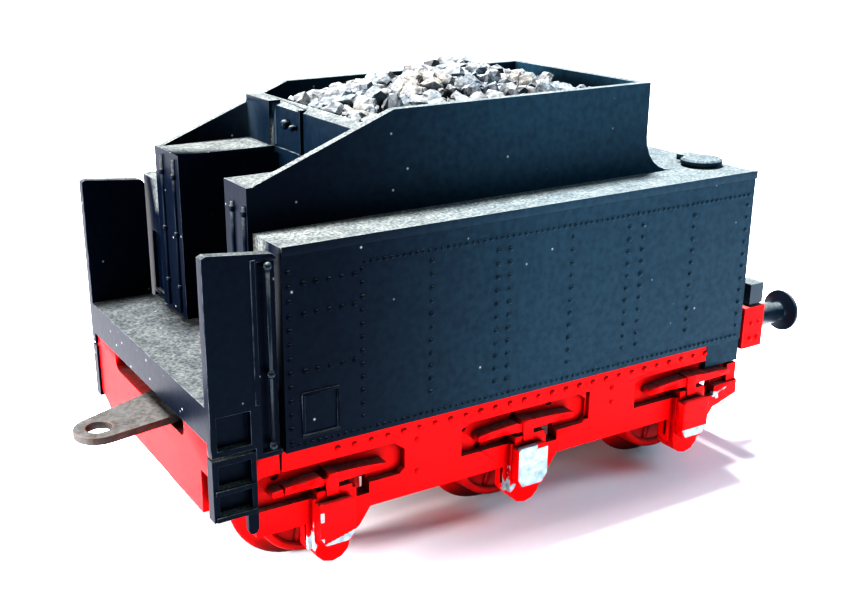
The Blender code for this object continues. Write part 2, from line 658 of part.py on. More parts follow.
def coupler_loop(finish):
    """Loop that lifts over the next vehicle's hook, hinged on the arm's stubs."""
    middle = sum(COUPLER_Z) / 2
    z = (middle - 0.35, middle + 0.35)
    outer = [(LOOP_PIVOT_X - 1.2, -3.5), (LOOP_END - 0.6, -3.5), (LOOP_END, -2.9)]
    outer += [(LOOP_END, 2.9), (LOOP_END - 0.6, 3.5), (LOOP_PIVOT_X - 1.2, 3.5)]
    loop = plate_xy(outer, z)
    for _, side in SIDES:
        joined(loop, pin((LOOP_PIVOT_X, side * 2.7, middle), 'Y', 1.2, side * 0.8))
    cut(loop, block((LOOP_PIVOT_X - 4, LOOP_END - 0.8), (-2.7, 2.7), (z[0] - 2, z[1] + 2)))
    cut(loop, pin((LOOP_PIVOT_X, -6, middle), 'Y', 0.75, 12))
    pivot = placed(LOOP_PIVOT_X, 0, middle)
    loop.data.transform(Matrix.Translation(-pivot))
    loop.location = pivot
    return finished('coupler_loop', loop, finish)


def build():
    clear_scene()
    black = material('black_plastic', (0.02, 0.022, 0.026), 0.55)
    red = material('red_paint', (0.55, 0.012, 0.02), 0.45)
    coal = material('coal', (0.06, 0.06, 0.065), 0.75)
    steel = material('steel', (0.5, 0.5, 0.5), 0.35, 1.0)
    dull_steel = material('dull_steel', (0.16, 0.13, 0.11), 0.6, 0.8)
    lens = material('lens', (0.8, 0.8, 0.75), 0.15)

    tank_shell(black)
    footplate(black)
    coal_load(coal)
    ballast_weight(steel)
    chassis_frame(red)
    keeper_plate(black)
    rear_beam(red)
    drawbar(dull_steel)
    for number, axle in enumerate(AXLE_X, start=1):
        wheelset(number, axle, red, steel)
    for name, side in SIDES:
        steps(f'steps_{name}', side, black)
        filler_lid(f'filler_lid_{name}', side, black)
        handrail(f'handrail_{name}', side, black)
        buffer(f'buffer_{name}', side, black)
        lamp(f'lamp_{name}', side, black)
        lamp_lens(f'lamp_lens_{name}', side, lens)
    coupler_arm(black)
    coupler_loop(dull_steel)
    for name, x in zip(('front', 'rear'), SCREW_X):
        head = KEEL_BOTTOM - GAP - KEEPER_Z[0]
        screw(f'body_screw_{name}', (x, 0, KEEL_BOTTOM - GAP), SCREW_HEAD, head, 17.0, True, steel)
    screw('drawbar_screw', (DRAWBAR_PIVOT_X, 0, DRAWBAR_Z[1] + GAP), 1.6, 0.7, 4.6, False, steel)
    screw('coupler_screw', (COUPLER_PIVOT_X, 0, COUPLER_Z[0] - GAP), 1.5, 0.7, 3.3, True, steel)


build()
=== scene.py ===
import bpy
import bmesh
import math
from mathutils import Matrix, Vector, noise


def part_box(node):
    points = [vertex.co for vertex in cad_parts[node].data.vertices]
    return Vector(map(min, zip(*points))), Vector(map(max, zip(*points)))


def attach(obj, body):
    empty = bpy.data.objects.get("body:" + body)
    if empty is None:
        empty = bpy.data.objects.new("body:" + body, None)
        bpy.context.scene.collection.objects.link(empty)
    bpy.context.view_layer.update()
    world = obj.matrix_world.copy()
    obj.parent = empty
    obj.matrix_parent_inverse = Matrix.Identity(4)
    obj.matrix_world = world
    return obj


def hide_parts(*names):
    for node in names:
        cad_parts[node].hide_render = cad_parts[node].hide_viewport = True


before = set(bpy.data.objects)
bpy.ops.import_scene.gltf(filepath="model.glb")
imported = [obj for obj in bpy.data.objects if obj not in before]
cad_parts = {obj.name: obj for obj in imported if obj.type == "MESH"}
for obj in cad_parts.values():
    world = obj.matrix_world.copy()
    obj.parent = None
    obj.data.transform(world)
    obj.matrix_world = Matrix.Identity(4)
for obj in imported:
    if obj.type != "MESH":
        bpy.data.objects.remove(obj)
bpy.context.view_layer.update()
mm = 0.001

# lengths below are in millimetres: x from the footplate's front edge, z from the tank's lower edge
wallTop = 27.98
datum = Vector((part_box("footplate")[0].x, 0.0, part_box("tank_shell")[1].z - wallTop * mm))
sides = {"left": -1, "right": 1}
axleX = [(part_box(f"axle_{n}")[0].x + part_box(f"axle_{n}")[1].x) / 2 for n in (1, 2, 3)]
axleX = [(x - datum.x) / mm for x in axleX]
axleZ = ((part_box("axle_1")[0].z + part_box("axle_1")[1].z) / 2 - datum.z) / mm
tank = {"x": (6.94, 62.1), "half": 16.5, "top": 18.6}
bunker = {"front": 6.5, "gate": 17.2}
frameHalf = 14.66


def at(x, y, z):
    return datum + Vector((x, y, z)) * mm


# ways to make and finish a piece

def newPiece(name, shape):
    bmesh.ops.remove_doubles(shape, verts=shape.verts, dist=1e-7)
    bmesh.ops.recalc_face_normals(shape, faces=shape.faces)
    mesh = bpy.data.meshes.new(name)
    shape.to_mesh(mesh)
    shape.free()
    piece = bpy.data.objects.new(name, mesh)
    bpy.context.scene.collection.objects.link(piece)
    return piece


def addBox(shape, x, y, z):
    corners = [at(a, b, c) for a in sorted(x) for b in sorted(y) for c in sorted(z)]
    verts = [shape.verts.new(corner) for corner in corners]
    for quad in ((0, 1, 3, 2), (4, 6, 7, 5), (0, 4, 5, 1), (2, 3, 7, 6), (0, 2, 6, 4), (1, 5, 7, 3)):
        shape.faces.new([verts[i] for i in quad])


def addPrism(shape, points, depth):
    low = [shape.verts.new(point) for point in points]
    high = [shape.verts.new(point + Vector(depth) * mm) for point in points]
    shape.faces.new(low)
    shape.faces.new(list(reversed(high)))
    for i in range(len(points)):
        j = (i + 1) % len(points)
        shape.faces.new([low[j], low[i], high[i], high[j]])


def addRod(shape, start, end, radius, sideCount=12):
    direction = (end - start).normalized()
    across = direction.orthogonal().normalized()
    ring = []
    for i in range(sideCount):
        turn = Matrix.Rotation(2 * math.pi * i / sideCount, 3, direction)
        ring.append(start + turn @ across * radius * mm)
    addPrism(shape, ring, (end - start) / mm)


def addTurned(shape, centre, axis, profile, sideCount=32):
    # profile: (along, radius) pairs in mm; a radius of 0 closes that end
    axis = Vector(axis).normalized()
    across = axis.orthogonal().normalized()
    rings = []
    for along, radius in profile:
        middle = centre + axis * along * mm
        if radius == 0:
            rings.append([shape.verts.new(middle)] * sideCount)
            continue
        ring = []
        for i in range(sideCount):
            turn = Matrix.Rotation(2 * math.pi * i / sideCount, 3, axis)
            ring.append(shape.verts.new(middle + turn @ across * radius * mm))
        rings.append(ring)
    pairs = list(zip(rings, rings[1:]))
    if profile[0][1] > 0:
        pairs.append((rings[-1], rings[0]))
    for first, second in pairs:
        for i in range(sideCount):
            j = (i + 1) % sideCount
            corners = list(dict.fromkeys((first[i], first[j], second[j], second[i])))
            if len(corners) > 2:
                shape.faces.new(corners)


def solid(name, build):
    shape = bmesh.new()
    build(shape)
    return newPiece(name, shape)


def cadCopy(node, name, merge=0.002, whole=True):
    # a merged copy of a CAD node, with its flat faces whole again; a face with a hole stays in triangles
    shape = bmesh.new()
    shape.from_mesh(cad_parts[node].data)
    bmesh.ops.remove_doubles(shape, verts=shape.verts, dist=merge * mm)
    if whole:
        bmesh.ops.dissolve_limit(shape, angle_limit=math.radians(0.6), verts=shape.verts, edges=shape.edges)
        bmesh.ops.connect_verts_concave(shape, faces=shape.faces)
    return newPiece(name, shape)


def bakeModifiers(piece):
    depsgraph = bpy.context.evaluated_depsgraph_get()
    mesh = bpy.data.meshes.new_from_object(piece.evaluated_get(depsgraph))
    piece.modifiers.clear()
    piece.data = mesh
    mesh.name = piece.name


def carve(piece, cutters):
    tool = solid("cutter", cutters)
    step = piece.modifiers.new("carve", "BOOLEAN")
    step.operation = "DIFFERENCE"
    step.solver = "EXACT"
    step.use_self = True
    step.object = tool
    bakeModifiers(piece)
    bpy.data.objects.remove(tool)
    shape = bmesh.new()
    shape.from_mesh(piece.data)
    bmesh.ops.remove_doubles(shape, verts=shape.verts, dist=2e-6)
    bmesh.ops.dissolve_limit(shape, angle_limit=math.radians(0.6), verts=shape.verts, edges=shape.edges)
    bmesh.ops.connect_verts_concave(shape, faces=shape.faces)
    shape.to_mesh(piece.data)
    shape.free()


def soften(piece, width, segments=2, angle=32, roomy=False):
    # rounds the edges, marks where they are sharp or hollow, then keeps the flat faces flat
    mesh = piece.data
    mesh.materials.clear()
    for _ in range(2):
        mesh.materials.append(None)
    shape = bmesh.new()
    shape.from_mesh(mesh)
    chosen = shape.edges.layers.float.new("bevel_weight_edge")
    room = 2.2 * width * mm
    for edge in shape.edges:
        bend = edge.calc_face_angle(0)
        crowded = any(e.calc_length() < room for vert in edge.verts for e in vert.link_edges)
        if bend > math.radians(angle) and not (roomy and crowded):
            edge[chosen] = 1.0
    shape.to_mesh(mesh)
    shape.free()
    bevel = piece.modifiers.new("soften", "BEVEL")
    bevel.width = width * mm
    bevel.segments = segments
    bevel.limit_method = "WEIGHT"
    bevel.material = 1
    bakeModifiers(piece)
    shape = bmesh.new()
    shape.from_mesh(piece.data)
    bmesh.ops.remove_doubles(shape, verts=shape.verts, dist=2e-6)
    bmesh.ops.connect_verts_concave(shape, faces=shape.faces)
    bmesh.ops.recalc_face_normals(shape, faces=shape.faces)
    ridge = shape.verts.layers.float.new("ridge")
    hollow = shape.verts.layers.float.new("hollow")
    for vert in shape.verts:
        if all(face.material_index == 1 for face in vert.link_faces):
            bend = sum(edge.calc_face_angle_signed(0) for edge in vert.link_edges)
            vert[ridge if bend > 0 else hollow] = 1.0
    for face in shape.faces:
        face.material_index = 0
    shape.to_mesh(piece.data)
    shape.free()
    piece.data.shade_smooth()
    piece.data.set_sharp_from_angle(angle=math.radians(46))
    weighted = piece.modifiers.new("flat faces", "WEIGHTED_NORMAL")
    weighted.keep_sharp = True
    weighted.weight = 90
    bakeModifiers(piece)


def place(piece, body, finish, slotName, *nodes):
    piece.data.materials.clear()
    piece.data.materials.append(finish)
    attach(piece, body)
    if nodes:
        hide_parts(*nodes)
    return piece


# materials, one function for each make-up

def plasticMaterial(name, look):
    # moulded black plastic: haze, handling marks, dust on what faces up, pale worn edges, and a painted slate sheen
    # towards the rear
    mat = bpy.data.materials.new(name)
    mat.use_nodes = True
    nodes = mat.node_tree.nodes
    links = mat.node_tree.links
    nodes.clear()

    coords = nodes.new("ShaderNodeTexCoord")
    coords.label = "piece position"
    centre = nodes.new("ShaderNodeMapping")
    centre.label = "centre on the tank"
    centre.inputs["Location"].default_value = (0.003, 0.002, -0.02)
    surface = nodes.new("ShaderNodeNewGeometry")
    surface.label = "which way it faces"

    hazeNoise = nodes.new("ShaderNodeTexNoise")
    hazeNoise.label = "slow haze"
    hazeNoise.inputs["Scale"].default_value = 60
    hazeNoise.inputs["Detail"].default_value = 3
    hazeRange = nodes.new("ShaderNodeMapRange")
    hazeRange.label = "haze amount"
    hazeRange.inputs["From Min"].default_value = 0.35
    hazeRange.inputs["From Max"].default_value = 0.7
    hazeRange.inputs["To Max"].default_value = look["haze"]
    grainNoise = nodes.new("ShaderNodeTexNoise")
    grainNoise.label = "fine mottling"
    grainNoise.inputs["Scale"].default_value = 1500
    grainNoise.inputs["Detail"].default_value = 2
    grainRange = nodes.new("ShaderNodeMapRange")
    grainRange.label = "mottling strength"
    grainRange.inputs["From Min"].default_value = 0.3
    grainRange.inputs["From Max"].default_value = 0.75
    grainRange.inputs["To Min"].default_value = 0.0
    grainRange.inputs["To Max"].default_value = 0.55
    plastic = nodes.new("ShaderNodeMix")
    plastic.label = "bare to hazy plastic"
    plastic.data_type = "RGBA"
    plastic.inputs["A"].default_value = (*look["base"], 1)
    plastic.inputs["B"].default_value = (*look["hazeColour"], 1)
    mottled = nodes.new("ShaderNodeMix")
    mottled.label = "mottled plastic"
    mottled.data_type = "RGBA"
    mottled.inputs["B"].default_value = (*look["mottle"], 1)

    # painted sheen: towards the rear a slate colour is mixed in by position along the tender, standing in for the
    # reflection of the bright surround
    lengthwise = nodes.new("ShaderNodeSeparateXYZ")
    lengthwise.label = "place along the tender"
    sheenTowardsRear = nodes.new("ShaderNodeMapRange")
    sheenTowardsRear.label = "painted sheen, brighter towards the rear"
    sheenTowardsRear.interpolation_type = "SMOOTHSTEP"
    sheenTowardsRear.inputs["From Min"].default_value = -0.024
    sheenTowardsRear.inputs["From Max"].default_value = 0.008
    unevenSheen = nodes.new("ShaderNodeMapRange")
    unevenSheen.label = "uneven painted sheen"
    unevenSheen.inputs["From Min"].default_value = 0.3
    unevenSheen.inputs["From Max"].default_value = 0.7
    unevenSheen.inputs["To Min"].default_value = 0.65
    rearSheenMask = nodes.new("ShaderNodeMath")
    rearSheenMask.label = "painted rear sheen mask"
    rearSheenMask.operation = "MULTIPLY"
    # this mix lays the painted slate sheen over the plastic
    hazy = nodes.new("ShaderNodeMix")
    hazy.label = "painted slate sheen"
    hazy.data_type = "RGBA"
    hazy.inputs["B"].default_value = (*look["slate"], 1)

    facing = nodes.new("ShaderNodeSeparateXYZ")
    facing.label = "upward share"
    upward = nodes.new("ShaderNodeMapRange")
    upward.label = "level faces only"
    upward.inputs["From Min"].default_value = 0.45
    upward.inputs["From Max"].default_value = 0.95
    dustNoise = nodes.new("ShaderNodeTexNoise")
    dustNoise.label = "dust patches"
    dustNoise.inputs["Scale"].default_value = 420
    dustNoise.inputs["Detail"].default_value = 6
    dustNoise.inputs["Roughness"].default_value = 0.72
    dustRange = nodes.new("ShaderNodeMapRange")
    dustRange.label = "dust thickness"
    dustRange.inputs["From Min"].default_value = 0.3
    dustRange.inputs["From Max"].default_value = 0.68
    dustRange.inputs["To Min"].default_value = look["dust"] * 0.45
    dustRange.inputs["To Max"].default_value = look["dust"]
    dustMask = nodes.new("ShaderNodeMath")
    dustMask.label = "dust lies on top"
    dustMask.operation = "MULTIPLY"
    dustTone = nodes.new("ShaderNodeTexNoise")
    dustTone.label = "dust tint"
    dustTone.inputs["Scale"].default_value = 3600
    dustTone.inputs["Detail"].default_value = 4
    dustColour = nodes.new("ShaderNodeValToRGB")
    dustColour.label = "grey to beige dust"
    dustColour.color_ramp.elements[0].position = 0.34
    dustColour.color_ramp.elements[0].color = (0.1, 0.11, 0.115, 1)
    dustColour.color_ramp.elements[1].position = 0.72
    dustColour.color_ramp.elements[1].color = (0.34, 0.35, 0.32, 1)
    dusty = nodes.new("ShaderNodeMix")
    dusty.label = "plastic under dust"
    dusty.data_type = "RGBA"

    wearRange = nodes.new("ShaderNodeAttribute")
    wearRange.label = "sharp edges"
    wearRange.attribute_name = "ridge"
    wearNoise = nodes.new("ShaderNodeTexNoise")
    wearNoise.label = "broken wear"
    wearNoise.inputs["Scale"].default_value = 700
    wearNoise.inputs["Detail"].default_value = 4
    wearBreak = nodes.new("ShaderNodeMapRange")
    wearBreak.label = "wear in places"
    wearBreak.inputs["From Min"].default_value = 0.35
    wearBreak.inputs["From Max"].default_value = 0.6
    wearBreak.inputs["To Max"].default_value = look["wear"]
    wearMask = nodes.new("ShaderNodeMath")
    wearMask.label = "worn edge mask"
    wearMask.operation = "MULTIPLY"
    worn = nodes.new("ShaderNodeMix")
    worn.label = "pale worn edges"
    worn.data_type = "RGBA"
    worn.inputs["B"].default_value = (0.11, 0.13, 0.15, 1)

    speckCells = nodes.new("ShaderNodeTexVoronoi")
    speckCells.label = "dust specks"
    speckCells.inputs["Scale"].default_value = 620
    speckRange = nodes.new("ShaderNodeMapRange")
    speckRange.label = "speck size"
    speckRange.inputs["From Min"].default_value = 0.1
    speckRange.inputs["From Max"].default_value = 0.03
    speckPick = nodes.new("ShaderNodeSeparateColor")
    speckPick.label = "only some cells"
    speckFew = nodes.new("ShaderNodeMath")
    speckFew.label = "few specks"
    speckFew.operation = "GREATER_THAN"
    speckFew.inputs[1].default_value = 0.8
    speckMask = nodes.new("ShaderNodeMath")
    speckMask.label = "speck mask"
    speckMask.operation = "MULTIPLY"
    specked = nodes.new("ShaderNodeMix")
    specked.label = "specks on top"
    specked.data_type = "RGBA"
    specked.inputs["B"].default_value = (0.22, 0.23, 0.24, 1)

    roughMix = nodes.new("ShaderNodeMapRange")
    roughMix.label = "satin to dusty"
    roughMix.inputs["To Min"].default_value = look["roughness"]
    roughMix.inputs["To Max"].default_value = 0.95
    grainBump = nodes.new("ShaderNodeBump")
    grainBump.label = "moulded grain"
    grainBump.inputs["Strength"].default_value = 0.25
    grainBump.inputs["Distance"].default_value = 0.00006
    dustBump = nodes.new("ShaderNodeBump")
    dustBump.label = "dust grains"
    dustBump.inputs["Strength"].default_value = 0.5
    dustBump.inputs["Distance"].default_value = 0.00012
    dustHeight = nodes.new("ShaderNodeMath")
    dustHeight.label = "grains where dust is"
    dustHeight.operation = "MULTIPLY"
    shader = nodes.new("ShaderNodeBsdfPrincipled")
    shader.label = "plastic"
    shader.inputs["Specular IOR Level"].default_value = look["specular"]
    shader.inputs["Specular Tint"].default_value = (0.55, 0.8, 1.0, 1)
    output = nodes.new("ShaderNodeOutputMaterial")
    output.label = "surface"

    links.new(coords.outputs["Object"], centre.inputs["Vector"])
    for pattern in (hazeNoise, grainNoise, dustNoise, dustTone, wearNoise, speckCells):
        links.new(centre.outputs["Vector"], pattern.inputs["Vector"])
    links.new(hazeNoise.outputs["Fac"], hazeRange.inputs["Value"])
    links.new(hazeRange.outputs["Result"], plastic.inputs["Factor"])
    links.new(grainNoise.outputs["Fac"], grainRange.inputs["Value"])
    links.new(grainRange.outputs["Result"], mottled.inputs["Factor"])
    links.new(plastic.outputs["Result"], mottled.inputs["A"])
    links.new(surface.outputs["Normal"], facing.inputs["Vector"])
    links.new(facing.outputs["Z"], upward.inputs["Value"])
    links.new(dustNoise.outputs["Fac"], dustRange.inputs["Value"])
    links.new(upward.outputs["Result"], dustMask.inputs[0])
    links.new(dustRange.outputs["Result"], dustMask.inputs[1])
    links.new(dustTone.outputs["Fac"], dustColour.inputs["Fac"])
    links.new(wearNoise.outputs["Fac"], wearBreak.inputs["Value"])
    links.new(wearRange.outputs["Fac"], wearMask.inputs[0])
    links.new(wearBreak.outputs["Result"], wearMask.inputs[1])
    links.new(centre.outputs["Vector"], lengthwise.inputs["Vector"])
    links.new(lengthwise.outputs["X"], sheenTowardsRear.inputs["Value"])
    links.new(grainNoise.outputs["Fac"], unevenSheen.inputs["Value"])
    links.new(sheenTowardsRear.outputs["Result"], rearSheenMask.inputs[0])
    links.new(unevenSheen.outputs["Result"], rearSheenMask.inputs[1])
    links.new(mottled.outputs["Result"], hazy.inputs["A"])
    links.new(rearSheenMask.outputs["Value"], hazy.inputs["Factor"])
    links.new(hazy.outputs["Result"], worn.inputs["A"])
    links.new(wearMask.outputs["Value"], worn.inputs["Factor"])
    links.new(worn.outputs["Result"], dusty.inputs["A"])
    links.new(dustColour.outputs["Color"], dusty.inputs["B"])
    links.new(dustMask.outputs["Value"], dusty.inputs["Factor"])
    links.new(speckCells.outputs["Distance"], speckRange.inputs["Value"])
    links.new(speckCells.outputs["Color"], speckPick.inputs["Color"])
    links.new(speckPick.outputs["Red"], speckFew.inputs[0])
    links.new(speckRange.outputs["Result"], speckMask.inputs[0])
    links.new(speckFew.outputs["Value"], speckMask.inputs[1])
    links.new(dusty.outputs["Result"], specked.inputs["A"])
    links.new(speckMask.outputs["Value"], specked.inputs["Factor"])
    links.new(specked.outputs["Result"], shader.inputs["Base Color"])
    links.new(dustMask.outputs["Value"], roughMix.inputs["Value"])
    links.new(roughMix.outputs["Result"], shader.inputs["Roughness"])
    links.new(grainNoise.outputs["Fac"], grainBump.inputs["Height"])
    links.new(dustTone.outputs["Fac"], dustHeight.inputs[0])
    links.new(dustMask.outputs["Value"], dustHeight.inputs[1])
    links.new(dustHeight.outputs["Value"], dustBump.inputs["Height"])
    links.new(grainBump.outputs["Normal"], dustBump.inputs["Normal"])
    links.new(dustBump.outputs["Normal"], shader.inputs["Normal"])
    links.new(shader.outputs["BSDF"], output.inputs["Surface"])

    groups = {
        "where": [coords, centre, surface],
        "plastic colour": [hazeNoise, hazeRange, grainNoise, grainRange, plastic, mottled],
        "painted rear sheen": [lengthwise, sheenTowardsRear, unevenSheen, rearSheenMask, hazy],
        "worn edges": [wearRange, wearNoise, wearBreak, wearMask, worn],
        "dust": [facing, upward, dustNoise, dustRange, dustMask, dustTone, dustColour, dusty],
        "specks": [speckCells, speckRange, speckPick, speckFew, speckMask, specked],
        "surface relief": [roughMix, grainBump, dustHeight, dustBump, shader, output],
    }
    layOut(mat, groups)
    return mat


def layOut(mat, groups):
    # one frame for each effect, its nodes in rows of three
    for column, (title, members) in enumerate(groups.items()):
        box = mat.node_tree.nodes.new("NodeFrame")
        box.label = title
        for i, node in enumerate(members):
            node.parent = box
            node.location = (column * 760 + (i % 3) * 230, -(i // 3) * 320)


def paintMaterial(name, look):
    # red paint over bare metal: chips where the piece's bare attribute says, painted shade darkening the inner corners
    # and sheltered places
    mat = bpy.data.materials.new(name)
    mat.use_nodes = True
    nodes = mat.node_tree.nodes
    links = mat.node_tree.links
    nodes.clear()

    coords = nodes.new("ShaderNodeTexCoord")
    coords.label = "piece position"
    centre = nodes.new("ShaderNodeMapping")
    centre.label = "centre on the frame"
    centre.inputs["Location"].default_value = (0.001, 0.0, -0.01)
    surface = nodes.new("ShaderNodeNewGeometry")
    surface.label = "which way it faces"

    toneNoise = nodes.new("ShaderNodeTexNoise")
    toneNoise.label = "uneven red"
    toneNoise.inputs["Scale"].default_value = 240
    toneNoise.inputs["Detail"].default_value = 4
    toneColour = nodes.new("ShaderNodeValToRGB")
    toneColour.label = "red tones"
    toneColour.color_ramp.elements[0].position = 0.32
    toneColour.color_ramp.elements[0].color = (*look["dark"], 1)
    toneColour.color_ramp.elements[1].position = 0.66
    toneColour.color_ramp.elements[1].color = (*look["light"], 1)
    # painted shade: inner corners and places that the ambient occlusion finds sheltered are darkened towards near
    # black, where shade falls
    cornerMark = nodes.new("ShaderNodeAttribute")
    cornerMark.label = "inner corners"
    cornerMark.attribute_name = "hollow"
    shelter = nodes.new("ShaderNodeAmbientOcclusion")
    shelter.label = "sheltered places"
    shelter.samples = 6
    shelter.inputs["Distance"].default_value = 0.003
    shelterRange = nodes.new("ShaderNodeMapRange")
    shelterRange.label = "grime where sheltered"
    shelterRange.inputs["From Min"].default_value = 0.9
    shelterRange.inputs["From Max"].default_value = 0.42
    shelterRange.inputs["To Max"].default_value = look["paintedShade"]
    shadeMask = nodes.new("ShaderNodeMath")
    shadeMask.label = "all grime"
    shadeMask.operation = "MAXIMUM"
    shadedRed = nodes.new("ShaderNodeMix")
    shadedRed.label = "grime in the corners"
    shadedRed.data_type = "RGBA"
    shadedRed.inputs["B"].default_value = (0.02, 0.001, 0.001, 1)

    facing = nodes.new("ShaderNodeSeparateXYZ")
    facing.label = "upward share"
    upward = nodes.new("ShaderNodeMapRange")
    upward.label = "ledges"
    upward.inputs["From Min"].default_value = 0.5
    upward.inputs["From Max"].default_value = 1.0
    upward.inputs["To Max"].default_value = look["dust"]
    dustNoise = nodes.new("ShaderNodeTexNoise")
    dustNoise.label = "dust grains"
    dustNoise.inputs["Scale"].default_value = 1800
    dustNoise.inputs["Detail"].default_value = 4
    dustMask = nodes.new("ShaderNodeMath")
    dustMask.label = "dust on ledges"
    dustMask.operation = "MULTIPLY"
    dusty = nodes.new("ShaderNodeMix")
    dusty.label = "dusty red"
    dusty.data_type = "RGBA"
    dusty.inputs["B"].default_value = (0.5, 0.3, 0.27, 1)

    bareMark = nodes.new("ShaderNodeAttribute")
    bareMark.label = "where paint has gone"
    bareMark.attribute_name = "bare"
    chipNoise = nodes.new("ShaderNodeTexNoise")
    chipNoise.label = "ragged chip edge"
    chipNoise.inputs["Scale"].default_value = 900
    chipNoise.inputs["Detail"].default_value = 5
    chipSum = nodes.new("ShaderNodeMath")
    chipSum.label = "mark plus noise"
    chipSum.operation = "ADD"
    chipRange = nodes.new("ShaderNodeMapRange")
    chipRange.label = "sharp chip edge"
    chipRange.inputs["From Min"].default_value = 0.98
    chipRange.inputs["From Max"].default_value = 1.04
    ridgeMark = nodes.new("ShaderNodeAttribute")
    ridgeMark.label = "sharp edges"
    ridgeMark.attribute_name = "ridge"
    edgeRange = nodes.new("ShaderNodeMapRange")
    edgeRange.label = "edge wear"
    edgeRange.inputs["To Max"].default_value = look["edgeWear"]
    metalTone = nodes.new("ShaderNodeTexNoise")
    metalTone.label = "cast metal mottling"
    metalTone.inputs["Scale"].default_value = 1300
    metalTone.inputs["Detail"].default_value = 5
    metalColour = nodes.new("ShaderNodeValToRGB")
    metalColour.label = "bare metal"
    metalColour.color_ramp.elements[0].position = 0.3
    metalColour.color_ramp.elements[0].color = (0.17, 0.23, 0.25, 1)
    metalColour.color_ramp.elements[1].position = 0.62
    metalColour.color_ramp.elements[1].color = (0.33, 0.41, 0.44, 1)
    chipped = nodes.new("ShaderNodeMix")
    chipped.label = "paint or metal"
    chipped.data_type = "RGBA"
    palerEdge = nodes.new("ShaderNodeMix")
    palerEdge.label = "thin paint on edges"
    palerEdge.data_type = "RGBA"
    palerEdge.inputs["B"].default_value = (0.9, 0.12, 0.12, 1)

    roughChip = nodes.new("ShaderNodeMapRange")
    roughChip.label = "paint to metal gloss"
    roughChip.inputs["To Min"].default_value = look["roughness"]
    roughChip.inputs["To Max"].default_value = 0.5
    metalShare = nodes.new("ShaderNodeMapRange")
    metalShare.label = "metal share"
    metalShare.inputs["To Max"].default_value = 0.25
    paintBump = nodes.new("ShaderNodeBump")
    paintBump.label = "brushed paint"
    paintBump.inputs["Strength"].default_value = 0.2
    paintBump.inputs["Distance"].default_value = 0.0001
    chipBump = nodes.new("ShaderNodeBump")
    chipBump.label = "paint thickness"
    chipBump.invert = True
    chipBump.inputs["Strength"].default_value = 0.6
    chipBump.inputs["Distance"].default_value = 0.00005
    shader = nodes.new("ShaderNodeBsdfPrincipled")
    shader.label = "paint"
    shader.inputs["Specular IOR Level"].default_value = look["specular"]
    output = nodes.new("ShaderNodeOutputMaterial")
    output.label = "surface"

    links.new(coords.outputs["Object"], centre.inputs["Vector"])
    for pattern in (toneNoise, dustNoise, chipNoise, metalTone):
        links.new(centre.outputs["Vector"], pattern.inputs["Vector"])
    links.new(toneNoise.outputs["Fac"], toneColour.inputs["Fac"])
    links.new(shelter.outputs["AO"], shelterRange.inputs["Value"])
    links.new(shelterRange.outputs["Result"], shadeMask.inputs[0])
    links.new(cornerMark.outputs["Fac"], shadeMask.inputs[1])
    links.new(toneColour.outputs["Color"], shadedRed.inputs["A"])
    links.new(shadeMask.outputs["Value"], shadedRed.inputs["Factor"])
    links.new(ridgeMark.outputs["Fac"], edgeRange.inputs["Value"])
    links.new(shadedRed.outputs["Result"], palerEdge.inputs["A"])
    links.new(edgeRange.outputs["Result"], palerEdge.inputs["Factor"])
    links.new(surface.outputs["Normal"], facing.inputs["Vector"])
    links.new(facing.outputs["Z"], upward.inputs["Value"])
    links.new(upward.outputs["Result"], dustMask.inputs[0])
    links.new(dustNoise.outputs["Fac"], dustMask.inputs[1])
    links.new(palerEdge.outputs["Result"], dusty.inputs["A"])
    links.new(dustMask.outputs["Value"], dusty.inputs["Factor"])
    links.new(bareMark.outputs["Fac"], chipSum.inputs[0])
    links.new(chipNoise.outputs["Fac"], chipSum.inputs[1])
    links.new(chipSum.outputs["Value"], chipRange.inputs["Value"])
    links.new(metalTone.outputs["Fac"], metalColour.inputs["Fac"])
    links.new(dusty.outputs["Result"], chipped.inputs["A"])
    links.new(metalColour.outputs["Color"], chipped.inputs["B"])
    links.new(chipRange.outputs["Result"], chipped.inputs["Factor"])
    links.new(chipped.outputs["Result"], shader.inputs["Base Color"])
    links.new(chipRange.outputs["Result"], roughChip.inputs["Value"])
    links.new(roughChip.outputs["Result"], shader.inputs["Roughness"])
    links.new(chipRange.outputs["Result"], metalShare.inputs["Value"])
    links.new(metalShare.outputs["Result"], shader.inputs["Metallic"])
    links.new(toneNoise.outputs["Fac"], paintBump.inputs["Height"])
    links.new(chipRange.outputs["Result"], chipBump.inputs["Height"])
    links.new(paintBump.outputs["Normal"], chipBump.inputs["Normal"])
    links.new(chipBump.outputs["Normal"], shader.inputs["Normal"])
    links.new(shader.outputs["BSDF"], output.inputs["Surface"])

    groups = {
        "where": [coords, centre, surface],
        "red paint": [toneNoise, toneColour, cornerMark, shelter, shelterRange, shadeMask, shadedRed, ridgeMark,
                      edgeRange, palerEdge],
        "dust": [facing, upward, dustNoise, dustMask, dusty],
        "chips to metal": [bareMark, chipNoise, chipSum, chipRange, metalTone, metalColour, chipped],
        "surface relief": [roughChip, metalShare, paintBump, chipBump, shader, output],
    }
    layOut(mat, groups)
    return mat


